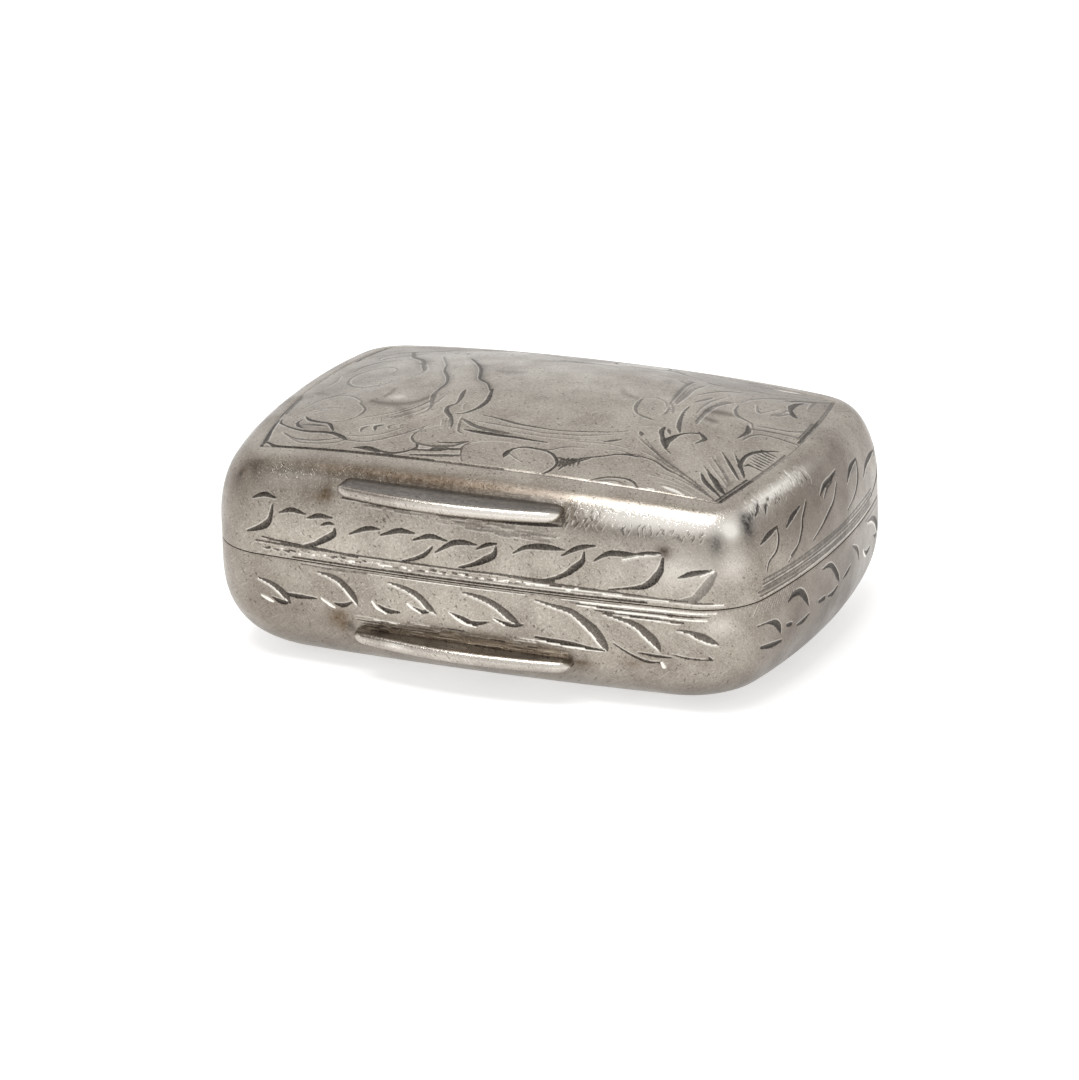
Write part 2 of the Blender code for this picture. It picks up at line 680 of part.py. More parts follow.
def make_sponge(material):
    """The sponge fills the base below the rim, on the curve of the walls, and swells up to the grille."""
    gap = WALL + SPONGE_CLEARANCE
    side_top = PARTING_Z - SPONGE_SIDE_DROP
    crown = GRILLE_BOTTOM_Z - SPONGE_CLEARANCE - side_top
    rings = [ring for ring in base_rings(-gap) if ring[0][2] < side_top]
    top = outline(gap, CORNER_RADIUS - gap)
    swell = [[(x, y, side_top) for x, y in top]]
    for share in SPONGE_RING_SHARES:
        level = side_top + crown * (1 - (share / SPONGE_CROWN_SHARE) ** 2)
        swell.append([(x * share, y * share, level) for x, y in top])
    mesh = skin(list(reversed(rings)) + swell, close_start=True, close_end="face")
    add_object("sponge", mesh, material)


def main():
    clear_scene()
    finish = materials()
    groove_mesh = tube(GROOVE_RADIUS, 0, HINGE_LENGTH + 2 * SEAT_GAP, TURNED_STEPS)
    groove = add_object("hinge_groove", groove_mesh, None, helper=True)
    groove.location = (0, HINGE_Y, PARTING_Z)
    make_shells(finish["silver"], groove)
    make_rim_and_ledge(finish["silver"])
    make_lid_hinge(finish["silver"], groove)
    make_bars(finish["worn"])
    make_grille(finish["gilt"])
    make_grille_hinge(finish["gilt"], finish["silver"])
    make_lift_tab(finish["gilt"])
    make_sponge(finish["sponge"])
    lid = ("lid_shell", "lid_hinge_bearer", "lid_knuckle_left", "lid_knuckle_right", "lid_thumb_bar")
    hang("lid_axis", (0, HINGE_Y, PARTING_Z), lid)
    grille = ("grille", "grille_knuckle", "grille_lift_tab")
    hang("grille_axis", (0, GRILLE_HINGE_Y, GRILLE_HINGE_Z), grille)


main()
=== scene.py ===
# %% [markdown]
# # A silver vinaigrette box
# The box is two thin raised silver shells, engraved with scrolls and leaves, that close over a gilded
# grille and a scented sponge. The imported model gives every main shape. This script loads it as a fixed
# frame, and then makes the pieces that the eye dwells on at a finer grain, and gives all of them their
# finish.

# %% Load the frame
import math

import bmesh
import bpy
import numpy as np
from mathutils import Matrix, Vector, noise


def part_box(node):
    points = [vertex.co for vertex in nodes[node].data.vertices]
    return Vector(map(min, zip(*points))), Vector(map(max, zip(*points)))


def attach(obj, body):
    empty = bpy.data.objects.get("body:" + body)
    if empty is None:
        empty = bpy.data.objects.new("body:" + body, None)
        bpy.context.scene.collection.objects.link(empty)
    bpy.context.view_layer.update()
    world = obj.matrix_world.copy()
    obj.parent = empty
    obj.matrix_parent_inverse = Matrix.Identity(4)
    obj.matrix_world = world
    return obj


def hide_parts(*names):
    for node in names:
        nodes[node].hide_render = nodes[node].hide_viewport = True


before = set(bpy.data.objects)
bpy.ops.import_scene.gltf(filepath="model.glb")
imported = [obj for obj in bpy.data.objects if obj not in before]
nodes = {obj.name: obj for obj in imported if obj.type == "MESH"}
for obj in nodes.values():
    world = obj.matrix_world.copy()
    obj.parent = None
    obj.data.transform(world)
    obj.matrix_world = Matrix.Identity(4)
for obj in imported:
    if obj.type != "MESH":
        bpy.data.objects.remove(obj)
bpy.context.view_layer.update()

# %% [markdown]
# Sizes on a box this small are thought of in millimetres, and colours as the sRGB values of a paint chart.
# Blender wants metres and linear light, so one value and one function turn them. A second function adds a
# shader node, with its settings and its links, and is all that the materials below are written with.

# %% Millimetres, colours and shader nodes
MM = 0.001


def colour(text):
    """The linear colour of an sRGB hex value."""
    parts = [int(text[i : i + 2], 16) / 255 for i in (1, 3, 5)]
    return (*(p / 12.92 if p <= 0.04045 else ((p + 0.055) / 1.055) ** 2.4 for p in parts), 1.0)


def add(tree, kind, links=(), **settings):
    """A shader node with its settings. Its links are nodes, sockets or plain values, in order or by name."""
    node = tree.nodes.new("ShaderNode" + kind)
    for name, value in settings.items():
        setattr(node, name, value)
    shown = [place for place in node.inputs if place.enabled]
    if isinstance(links, dict):
        pairs = [(next(p for p in shown if p.name == name), source) for name, source in links.items()]
    else:
        pairs = zip(shown, links)
    for place, source in pairs:
        if isinstance(source, bpy.types.Node):
            source = next(o for o in source.outputs if o.enabled)
        if isinstance(source, bpy.types.NodeSocket):
            tree.links.new(source, place)
        else:
            place.default_value = source
    return node


WHITE = colour("#ffffff")
print("silver grey in linear light:", [round(c, 3) for c in colour("#a8a096")])

# %% [markdown]
# The camera stands half a metre away with a long lens, a little above the box and to its right, so that the
# bowed front, the right end and the lid all show. Its angles were found by laying the outline of the box
# over the photograph. The small shift only centres the frame.

# %% Camera
VIEW_AZIMUTH = math.radians(24.03)
VIEW_ELEVATION = math.radians(20.71)
VIEW_ROLL = math.radians(-1.74)
VIEW_DISTANCE = 500 * MM
VIEW_LENS = 301.3
FRAME_WIDTH = 1079
SHIFT_RIGHT, SHIFT_UP = -11.4, -27.2
AIM = Vector((0, 0, 6.5 * MM))

back = Vector(
    (
        math.sin(VIEW_AZIMUTH) * math.cos(VIEW_ELEVATION),
        -math.cos(VIEW_AZIMUTH) * math.cos(VIEW_ELEVATION),
        math.sin(VIEW_ELEVATION),
    )
)
level_right = Vector((math.cos(VIEW_AZIMUTH), math.sin(VIEW_AZIMUTH), 0))
level_up = back.cross(level_right)
right = level_right * math.cos(VIEW_ROLL) + level_up * math.sin(VIEW_ROLL)
up = level_up * math.cos(VIEW_ROLL) - level_right * math.sin(VIEW_ROLL)
camera_data = bpy.data.cameras.new("camera")
camera_data.sensor_width = 36
camera_data.sensor_fit = "HORIZONTAL"
camera_data.lens = VIEW_LENS
camera_data.shift_x = SHIFT_RIGHT / FRAME_WIDTH
camera_data.shift_y = SHIFT_UP / FRAME_WIDTH
camera_data.clip_start = 10 * MM
camera_data.clip_end = 20
camera = bpy.data.objects.new("camera", camera_data)
camera.matrix_world = Matrix((right, up, back)).transposed().to_4x4()
camera.location = AIM + back * VIEW_DISTANCE
bpy.context.scene.collection.objects.link(camera)
bpy.context.scene.camera = camera
print("camera at", [round(c / MM, 1) for c in camera.location], "mm")

# %% [markdown]
# A product photographer sets silver in a white room under soft boxes. The world is that room. Light Path
# makes it quite white for the camera and in reflections, and keeps it at a plain level for the rays that
# light things, so that a colour renders as it is written.

# %% White room
WORLD_LIGHT = 0.55

view = bpy.context.scene.view_settings
view.view_transform = "Standard"


def seen_rays(tree):
    """One for rays from the camera, mirrors and glass, and zero for the rays that light things."""
    path = add(tree, "LightPath")
    seen = path.outputs["Is Camera Ray"]
    for kind in ("Is Glossy Ray", "Is Transmission Ray"):
        seen = add(tree, "Math", [seen, path.outputs[kind]], operation="MAXIMUM")
    return seen


world = bpy.data.worlds.new("white_studio")
world.use_nodes = True
sky = world.node_tree
sky.nodes.clear()
strength = add(sky, "MapRange", {"Value": seen_rays(sky), "To Min": WORLD_LIGHT, "To Max": 1.0})
room = add(sky, "Background", {"Color": WHITE, "Strength": strength})
add(sky, "OutputWorld", {"Surface": room})
bpy.context.scene.world = world
print("the world lights things at", WORLD_LIGHT)

# %% [markdown]
# The box stands on a wide sheet of pale paper, which takes its soft shadow. A little light of its own,
# again only for the camera and in reflections, turns the paper white. It is stage, and no part of the box.

# %% Paper sweep
PAPER_HALF = 4.0
PAPER_GLOW = 0.6


def blank_material(name):
    """A material with an empty node tree, and that tree."""
    made = bpy.data.materials.new(name)
    made.use_nodes = True
    made.node_tree.nodes.clear()
    return made, made.node_tree


def placed(name, mesh, material):
    """The object of a bmesh in this material, at the origin, in the scene."""
    data = bpy.data.meshes.new(name)
    mesh.to_mesh(data)
    mesh.free()
    data.materials.append(material)
    thing = bpy.data.objects.new(name, data)
    bpy.context.scene.collection.objects.link(thing)
    return thing


backdrop, tree = blank_material("white_paper_sweep")
paper = add(tree, "BsdfDiffuse", {"Color": colour("#e4e4e4")})
lift = add(tree, "Math", [seen_rays(tree), PAPER_GLOW], operation="MULTIPLY")
glow = add(tree, "Emission", {"Color": WHITE, "Strength": lift})
both = add(tree, "AddShader", [paper, glow])
add(tree, "OutputMaterial", {"Surface": both})

mesh = bmesh.new()
bmesh.ops.create_grid(mesh, x_segments=2, y_segments=2, size=PAPER_HALF)
floor = placed("floor", mesh, backdrop)
print("the floor is", 2 * PAPER_HALF, "m wide")

# %% [markdown]
# Three soft boxes light the box. A large one overhead gives the lid its broad sheen, a narrow one in front
# of it draws the highlight along the shoulder, and a weak one on the left opens the shadows there.

# %% Soft boxes


def facing_the_box(direction):
    """A matrix whose Z looks from the box this way, and whose X stays level."""
    z = Vector(direction).normalized()
    x = Vector((0, 1, 0)).cross(z).normalized()
    return Matrix((x, z.cross(x), z)).transposed().to_4x4()


def soft_box(name, toward, distance, width, height, power):
    """A rectangular lamp that stands this way and this far from the box, and faces it."""
    data = bpy.data.lights.new(name, "AREA")
    data.shape = "RECTANGLE"
    data.size = width
    data.size_y = height
    data.energy = power
    lamp = bpy.data.objects.new(name, data)
    lamp.matrix_world = facing_the_box(toward)
    lamp.location = AIM + Vector(toward).normalized() * distance
    bpy.context.scene.collection.objects.link(lamp)
    return lamp


soft_box("overhead_box", (0.0, -0.28, 0.96), 0.42, 0.28, 0.2, 0.8)
soft_box("strip_box", (-0.26, -0.38, 0.89), 0.42, 0.1, 0.05, 0.12)
soft_box("left_box", (-0.85, -0.45, 0.45), 0.5, 0.16, 0.22, 0.12)

# %% [markdown]
# Polished metal shows whatever stands round it, and in a white room it would look like grey clay. So the
# photographer hangs a grey card beside the lamp. It is there for mirrors alone: no camera sees it, and it
# takes no light from the box.

# %% Grey card
card_paper, tree = blank_material("grey_card")
dim_grey = add(tree, "Emission", {"Color": colour("#8a847c"), "Strength": 0.9})
add(tree, "OutputMaterial", {"Surface": dim_grey})


def grey_card(name, toward, distance, width, height):
    """A card that stands this way and this far from the box, faces it, and shows in reflections alone."""
    mesh = bmesh.new()
    place = Matrix.Translation(AIM + Vector(toward).normalized() * distance) @ facing_the_box(toward)
    shape = place @ Matrix.Diagonal((width, height, 1, 1))
    bmesh.ops.create_grid(mesh, x_segments=1, y_segments=1, size=0.5, matrix=shape)
    card = placed(name, mesh, card_paper)
    for ray in ("camera", "diffuse", "transmission", "volume_scatter", "shadow"):
        setattr(card, "visible_" + ray, False)


grey_card("card_above_left", (-0.7, -0.3, 0.65), 0.4, 0.22, 0.3)

# %% [markdown]
# Seen from above, the case has four gently bowed sides, each an arc, and round corners. A ring of points
# walks round that outline at about a twelfth of a millimetre, which is as fine as the picture can show.
# Every ring has the same count of points on each arc, so rings at different insets join up column by
# column.

# %% The outline of the case as rings of points
CASE_LENGTH, CASE_DEPTH = 34.0, 23.2
LONG_SIDE_BOW, END_BOW = 0.85, 1.7
CORNER_RADIUS = 3.7
FINE_STEPS = (108, 56, 176)
COARSE_STEPS = (27, 14, 44)

long_radius = ((CASE_LENGTH / 2) ** 2 + LONG_SIDE_BOW**2) / (2 * LONG_SIDE_BOW)
end_radius = ((CASE_DEPTH / 2) ** 2 + END_BOW**2) / (2 * END_BOW)
long_centre = CASE_DEPTH / 2 - long_radius
end_centre = CASE_LENGTH / 2 - end_radius


def arc(centre, radius, start, end, steps, last=False):
    """Points on an arc at even angles. The last one belongs to the next arc, unless it is asked for."""
    angles = np.linspace(start, end, steps + last, endpoint=last)
    return np.stack([centre[0] + radius * np.cos(angles), centre[1] + radius * np.sin(angles)], 1)


def corner_centre(to_long, to_end):
    """The middle of a corner, at these distances from the middles of the two side arcs."""
    along = np.array([end_centre, -long_centre])
    span = np.linalg.norm(along)
    along /= span
    foot = (to_long**2 - to_end**2 + span**2) / (2 * span)
    height = math.sqrt(to_long**2 - foot**2)
    return np.array([0, long_centre]) + along * foot + np.array([along[1], -along[0]]) * height


def ring(long_inset, end_inset, corner, steps=FINE_STEPS):
    """The outline drawn in by these insets, in mm, from the middle of the right end, anticlockwise."""
    reach_long, reach_end = long_radius - long_inset, end_radius - end_inset
    centre = corner_centre(reach_long - corner, reach_end - corner)
    to_end = math.atan2(centre[1], centre[0] - end_centre)
    to_back = math.atan2(centre[1] - long_centre, centre[0])
    quarter = np.concatenate(
        [
            arc((end_centre, 0), reach_end, 0, to_end, steps[0]),
            arc(centre, corner, to_end, to_back, steps[1]),
            arc((0, long_centre), reach_long, to_back, math.pi / 2, steps[2], True),
        ]
    )
    half = np.concatenate([quarter, (quarter * [-1, 1])[::-1][1:]])
    return np.concatenate([half, (half * [1, -1])[::-1][1:-1]])


print("one ring has", len(ring(0, 0, CORNER_RADIUS)), "points")

# %% [markdown]
# The engraving is laid out by the distance round the case, measured with a tape from the middle of the
# front, positive to the right. The outermost ring gives that distance for every column.

# %% The distance round the case


def walk(points):
    """How far round each column is from the middle of the front, in mm, positive to the right."""
    steps = np.linalg.norm(np.roll(points, -1, 0) - points, axis=1)
    before = np.concatenate([[0], np.cumsum(steps)[:-1]])
    front = int(np.argmin(np.abs(points[:, 0]) + 99 * (points[:, 1] > 0)))
    return (before - before[front] + steps.sum() / 2) % steps.sum() - steps.sum() / 2, front


around, front_column = walk(ring(0, 0, CORNER_RADIUS))
HALF_WAY = around.max()
print("columns:", len(around), "half way round:", round(around.max(), 2), "mm")

# %% [markdown]
# In section each shell is a short upright band at the joint and then a quarter curve, a fuller one on the
# base and a rounder one on the lid, whose crown swells up into a low dome. The sizes are those of the
# solids.

# %% The two shells in section
PARTING = 6.5
HALF_GAP = 0.06
LIP_GAP = 0.03
JOINT_BAND = 1.0
LID_RISE, SHOULDER_INSET, SHOULDER_CORNER, LID_POWER = 4.7, 1.8, 2.1, 2.0
LID_DOME, DOME_POWER = 2.6, 2.15
BASE_HEIGHT, FOOT_INSET, FOOT_CORNER, BASE_POWER = 6.5, 5.1, 3.2, 2.5
BORDER_LONG, BORDER_END, BORDER_CORNER = 2.68, 2.4, 0.1
WALL = 0.5
HINGE_Y, GROOVE_RADIUS, NOTCH_HALF = 11.65, 1.02, 10.1


def dome(x, y):
    """How far the crown swells up over its edge at a place."""
    share_x = np.abs(2 * x / CASE_LENGTH) ** DOME_POWER
    share_y = np.abs(2 * y / CASE_DEPTH) ** DOME_POWER
    return LID_DOME * (1 - share_x) * (1 - share_y)


def lid_level(points, rise, grown=0.0):
    """The lid's outside over these points of a ring at this rise, or a surface this far outside it."""
    share = max(rise - JOINT_BAND, 0) / (LID_RISE - JOINT_BAND)
    return PARTING + HALF_GAP + rise + share * (grown + dome(points[:, 0], points[:, 1]))


def quarter_curve(angle, inset, height, power):
    """How far in and how far from the joint the wall is at this angle of its curve."""
    drawn_in = inset * (1 - math.cos(angle) ** (2 / power))
    return drawn_in, JOINT_BAND + (height - JOINT_BAND) * math.sin(angle) ** (2 / power)


shoulder = quarter_curve(math.pi / 2, SHOULDER_INSET, LID_RISE, LID_POWER)
print("the curve of the lid ends", [round(v, 2) for v in shoulder], "mm in and up")

# %% [markdown]
# A table of points, columns round the case by rows along the section, holds a whole surface. Its rows lie
# close together where engraving goes. Along the back the lip is drawn clear of the hinge.

# %% Rows of a table


def at_level(points, z):
    """A row of a table: the points of a ring with one height, or with a height for each."""
    return np.column_stack([points, np.broadcast_to(z, len(points))])


def last_step(rows):
    """How far the last row is from the one before it, at the middle of the front."""
    return float(np.linalg.norm(rows[-1][front_column] - rows[-2][front_column]))


def clear_the_hinge(table, side):
    """Draws the lip back from the hinge along the back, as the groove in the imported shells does."""
    x, y, z = table[..., 0], table[..., 1], table[..., 2]
    near = (np.abs(x) < NOTCH_HALF) & (np.abs(y - HINGE_Y) < GROOVE_RADIUS)
    reach = np.sqrt(np.maximum(GROOVE_RADIUS**2 - (y - HINGE_Y) ** 2, 0))
    edge = PARTING + side * reach
    inside = near & (side * (edge - z) > 0)
    table[..., 2] = np.where(inside, edge, z)
    return table


def spaced(function, count_fine, fine_until, count_coarse):
    """Angles along a quarter curve at even steps of its length: fine ones first and then coarse ones."""
    angles = np.linspace(0, math.pi / 2, 2000)
    points = np.array([function(a) for a in angles])
    length = np.concatenate([[0], np.cumsum(np.linalg.norm(np.diff(points, axis=0), axis=1))])
    targets = np.concatenate(
        [np.linspace(0, fine_until, count_fine), np.linspace(fine_until, length[-1], count_coarse + 1)[1:]]
    )
    return np.interp(targets, length, angles)


print("the hinge takes", 2 * NOTCH_HALF, "mm of the back")

# %% [markdown]
# The side of the lid starts inside, behind its lip, comes out to the joint, climbs the upright band and the
# quarter curve, and ends just under the border of the crown. With each row goes its height along the metal,
# measured from the joint at the middle of the front. Behind the lip that is a height where no stroke lies.

# %% The side of the lid
NO_STROKES = -1.0
LIP_BACK, LIP_EASED, LIP_EDGE = 0.47, 0.42, 0.03
LIP_DEEP = 1.6
TUCKED_UNDER = 0.06


def lid_side_table():
    """The side of the lid as a table, and the height of each of its rows."""
    rows, heights = [], []
    lip_rise = LIP_GAP - HALF_GAP
    for inset, rise in ((LIP_BACK, LIP_DEEP), (LIP_BACK, 0.05), (LIP_EASED, lip_rise), (LIP_EDGE, lip_rise)):
        points = ring(inset, inset, CORNER_RADIUS - inset)
        rows.append(at_level(points, lid_level(points, rise)))
        heights.append(NO_STROKES)
    points = ring(0, 0, CORNER_RADIUS)
    for rise in np.linspace(0.04, JOINT_BAND, 12)[:-1]:
        rows.append(at_level(points, lid_level(points, rise)))
        heights.append(rise)
    walked = JOINT_BAND

    def curve(angle):
        return quarter_curve(angle, SHOULDER_INSET, LID_RISE, LID_POWER)

    for angle in spaced(curve, 42, 3.5, 5):
        inset, rise = curve(angle)
        corner = CORNER_RADIUS + (SHOULDER_CORNER - CORNER_RADIUS) * inset / SHOULDER_INSET
        points = ring(inset, inset, corner)
        rows.append(at_level(points, lid_level(points, rise)))
        walked += last_step(rows) if angle else 0
        heights.append(walked)
    for share in np.linspace(0, 1, 7)[1:]:
        long_inset = SHOULDER_INSET + (BORDER_LONG - SHOULDER_INSET) * share
        end_inset = SHOULDER_INSET + (BORDER_END - SHOULDER_INSET) * share
        corner = SHOULDER_CORNER + (BORDER_CORNER - SHOULDER_CORNER) * share
        points = ring(long_inset, end_inset, corner)
        rows.append(at_level(points, lid_level(points, LID_RISE)))
        walked += last_step(rows)
        heights.append(walked)
    table = np.stack(rows, 1)
    table[:, -1, 2] -= TUCKED_UNDER
    return clear_the_hinge(table, 1), np.array(heights)


lid_side, lid_heights = lid_side_table()
print("lid rows:", len(lid_heights), "to", round(lid_heights[-1], 2), "mm")

# %% [markdown]
# The side of the base is the same thing upside down, with a fuller curve that runs in under the box.

# %% The side of the base


def base_side_table():
    """The side of the base as a table, and how far below the joint each of its rows is."""
    rows, depths = [], []
    for inset, drop in ((LIP_BACK, LIP_DEEP), (LIP_BACK, 0.11), (LIP_EASED, LIP_GAP), (LIP_EDGE, LIP_GAP)):
        rows.append(at_level(ring(inset, inset, CORNER_RADIUS - inset), PARTING - drop))
        depths.append(NO_STROKES)
    for drop in np.linspace(0.1, JOINT_BAND, 12)[:-1]:
        rows.append(at_level(ring(0, 0, CORNER_RADIUS), PARTING - drop))
        depths.append(drop)
    walked = JOINT_BAND

    def curve(angle):
        return quarter_curve(angle, FOOT_INSET, BASE_HEIGHT, BASE_POWER)

    for angle in spaced(curve, 36, 3.0, 14):
        inset, drop = curve(angle)
        corner = CORNER_RADIUS + (FOOT_CORNER - CORNER_RADIUS) * inset / FOOT_INSET
        rows.append(at_level(ring(inset, inset, corner), PARTING - drop))
        walked += last_step(rows) if angle else 0
        depths.append(walked)
    return clear_the_hinge(np.stack(rows, 1), -1), np.array(depths)


base_side, base_depths = base_side_table()
print("base rows:", len(base_depths), "to", round(base_depths[-1], 2), "mm")

# %% [markdown]
# The crown of the lid lies inside a border line with sharp corners. Its table is a plain grid, stretched so
# that its edges follow the bowed border exactly.

# %% The crown of the lid
CROWN_COLUMNS, CROWN_ROWS = 361, 221


def crown_table():
    """The crown inside its border as a table, with its outermost points tucked under the border."""
    u, v = np.meshgrid(np.linspace(-1, 1, CROWN_COLUMNS), np.linspace(-1, 1, CROWN_ROWS), indexing="ij")
    x, y = u * CASE_LENGTH / 2, v * CASE_DEPTH / 2
    for _ in range(4):
        y = v * (long_centre + np.sqrt((long_radius - BORDER_LONG) ** 2 - x**2))
        x = u * (end_centre + np.sqrt((end_radius - BORDER_END) ** 2 - y**2))
    z = PARTING + HALF_GAP + LID_RISE + dome(x, y)
    edge = np.maximum(np.abs(u), np.abs(v)) == 1
    return np.stack([x, y, np.where(edge, z - 0.05, z)], -1)


crown = crown_table()
print("crown:", crown.shape[:2], "corner at", crown[-1, 0].round(2))

# %% [markdown]
# Engraving is the heart of the finish. A graver pushes up a V-shaped cut that starts fine, swells and
# fades. A stroke is written as a few points, each with the width of the cut there in hundredths of a
# millimetre, and a smooth curve runs through them. A point without a width is a fine end. The ink of a
# stroke says how dark it is, from 0 for a cut polished bright to 100 for one that is filled black.

# %% Strokes of the graver
STROKE_STEP = 0.09
FINE_END = 10


def smooth_path(points):
    """Points closely spaced along a smooth curve through the given (a, b, width) points."""
    p = np.array(points, float)
    if len(p) < 3:
        p = np.array([p[0], (p[0] + p[-1]) / 2, p[-1]])
    ends = np.concatenate([[2 * p[0] - p[1]], p, [2 * p[-1] - p[-2]]])
    path = []
    for p0, p1, p2, p3 in zip(ends, ends[1:], ends[2:], ends[3:]):
        steps = max(2, int(np.linalg.norm(p2[:2] - p1[:2]) / STROKE_STEP))
        t = (np.arange(steps) / steps)[:, None]
        bend = 2 * p0 - 5 * p1 + 4 * p2 - p3
        twist = 3 * p1 - p0 - 3 * p2 + p3
        path.append(0.5 * (2 * p1 + (p2 - p0) * t + bend * t**2 + twist * t**3))
    path.append(p[-1:])
    return np.concatenate(path)


def stroke(ink, *points):
    """One cut of the graver."""
    return ink, smooth_path(points)


def in_mm(points):
    """Points whose widths are written in hundredths of a millimetre, or left out at a fine end."""
    return [(a, b, (*width, FINE_END)[0] / 100) for a, b, *width in points]


def cuts(*rows):
    """A list of strokes, each written as its ink in per cent and its points."""
    return [stroke(ink / 100, *in_mm(points)) for ink, *points in rows]


def redrawn(strokes, along=1.0, up=1.0, width=1.0, shift=0.0, ink=1.0):
    """The same strokes drawn out or turned over by these factors, and moved along by the shift."""
    return [(ink * darkness, path * [along, up, width] + [shift, 0, 0]) for darkness, path in strokes]


print("a test stroke has", len(cuts((100, (0, 0), (1, 0.5, 30), (2, 0)))[0][1]), "points")

# %% [markdown]
# For every point of a surface the distance to the nearest cut's edge is kept: the mesh is pressed in by it,
# and the material reads it for the patina in old cuts. Only points within reach of a stroke are measured
# against it.

# %% The nearest cut
CUT_REACH = 0.3


def nearest(a, b, path, reach):
    """The places within reach of a path: which they are, how far off, its half width there, and the side."""
    low, high = path[:, :2].min(0) - reach, path[:, :2].max(0) + reach
    near = np.nonzero((a > low[0]) & (a < high[0]) & (b > low[1]) & (b < high[1]))
    start, run = path[:-1], np.diff(path, axis=0)
    offset = np.stack([a[near], b[near]], 1)[:, None] - start[None, :, :2]
    length = np.linalg.norm(run[:, :2], axis=1) + 1e-9
    along = np.clip((offset * run[None, :, :2]).sum(2) / length**2, 0, 1)
    gap = np.linalg.norm(offset - along[..., None] * run[None, :, :2], axis=2)
    half = np.maximum(start[:, 2] + along * run[:, 2], 0.02) / 2
    side = (run[:, 0] * offset[..., 1] - run[:, 1] * offset[..., 0]) / length
    if not len(near[0]):
        return near, gap[:, :1], half[:, :1], side[:, :1]
    best = (half - gap).argmax(1)[:, None]
    return (near, *(np.take_along_axis(v, best, 1) for v in (gap, half, side)))


def engrave(a, b, strokes):
    """For each place on a surface: how deep it is inside the nearest cut, its ink, and on which side."""
    inside = np.full(a.shape, -CUT_REACH)
    ink, side = np.zeros(a.shape), np.zeros(a.shape)
    for darkness, path in strokes:
        near, gap, half, turn = nearest(a, b, path, CUT_REACH)
        if not len(near[0]):
            continue
        depth = (half - gap)[:, 0]
        better = depth > inside[near]
        where = tuple(n[better] for n in near)
        inside[where] = depth[better]
        ink[where] = darkness
        side[where] = np.clip(turn / half, -1.5, 1.5)[better, 0]
    return inside, ink, side


depth_inside = engrave(np.array([0.5]), np.array([0.0]), cuts((100, (0, 0, 30), (1, 0, 30))))[0]
print("the middle of a cut 0.3 mm wide is inside by", depth_inside.round(3), "mm")

# %% [markdown]
# Broad soft strokes darken the metal where the cutting is shallow or worn, and soft spots give it stains,
# painted shade and painted highlights.

# %% Soft shade, stains and painted light


def soft_shade(a, b, strokes):
    """Broad soft strokes, where the cutting is shallow or worn: how dark each place is."""
    shade = np.zeros(a.shape)
    for darkness, path in strokes:
        near, gap, half, _ = nearest(a, b, path, path[:, 2].max())
        if len(near[0]):
            value = darkness * np.exp(-((gap / half) ** 2))[:, 0]
            shade[near] = np.maximum(shade[near], value)
    return shade


def stain_and_light(a, b, spots):
    """Soft spots of tarnish, painted shade and painted highlight: each a place, two reaches in mm, a
    strength.
    """
    total = np.zeros(a.shape)
    for at_a, at_b, reach_a, reach_b, strong in spots:
        total += strong * np.exp(-(((a - at_a) / reach_a) ** 2) - ((b - at_b) / reach_b) ** 2)
    return np.clip(total, 0, 1)


print("a stain of strength 1 fades to", stain_and_light(np.array([1.0]), np.array([0.0]), [(0, 0, 1, 1, 1)]).round(2))

# %% [markdown]
# The front of the lid carries a branch that grows from the left along the joint. Each leaf is a long cut
# that sweeps from the stem up to its tip, under one or two short lens-shaped cuts. Places are read off the
# object with a ruler: how far round from the middle of the front, and how far up from the joint.

# %% Leaves on the front of the lid
lid_leaf_edges = cuts(
    (85, (-11.8, 2.85, 12), (-11.9, 2.1, 28), (-12.2, 1.7, 38), (-12.75, 1.42, 25), (-13.35, 1.2)),
    (85, (-7.9, 2.1, 12), (-7.95, 1.77, 34), (-8.5, 1.4, 36), (-9.15, 1.05, 24), (-10, 0.8)),
    (80, (-1.95, 1.85), (-2.4, 1.38, 24), (-3, 1.05, 20), (-3.8, 0.8)),
    (85, (1.8, 2.3, 12), (1.7, 1.85, 34), (1.15, 1.5, 38), (0.45, 1.15, 24), (-0.4, 0.88)),
    (85, (6.95, 2.55, 12), (6.85, 2.05, 30), (6.4, 1.65, 38), (5.9, 1.25, 28), (5.15, 0.9, 20), (4, 0.62)),
    (85, (11.45, 2.65, 14), (11.35, 2.05, 34), (11.1, 1.63, 42), (10.8, 1.28, 40),
     (10.25, 0.98, 28), (9.4, 0.82, 13), (8.4, 0.65)),
    (50, (14.4, 2, 22), (14.05, 1.5, 48), (13.65, 1, 50), (13.2, 0.58, 38), (12.5, 0.45, 12)),
)
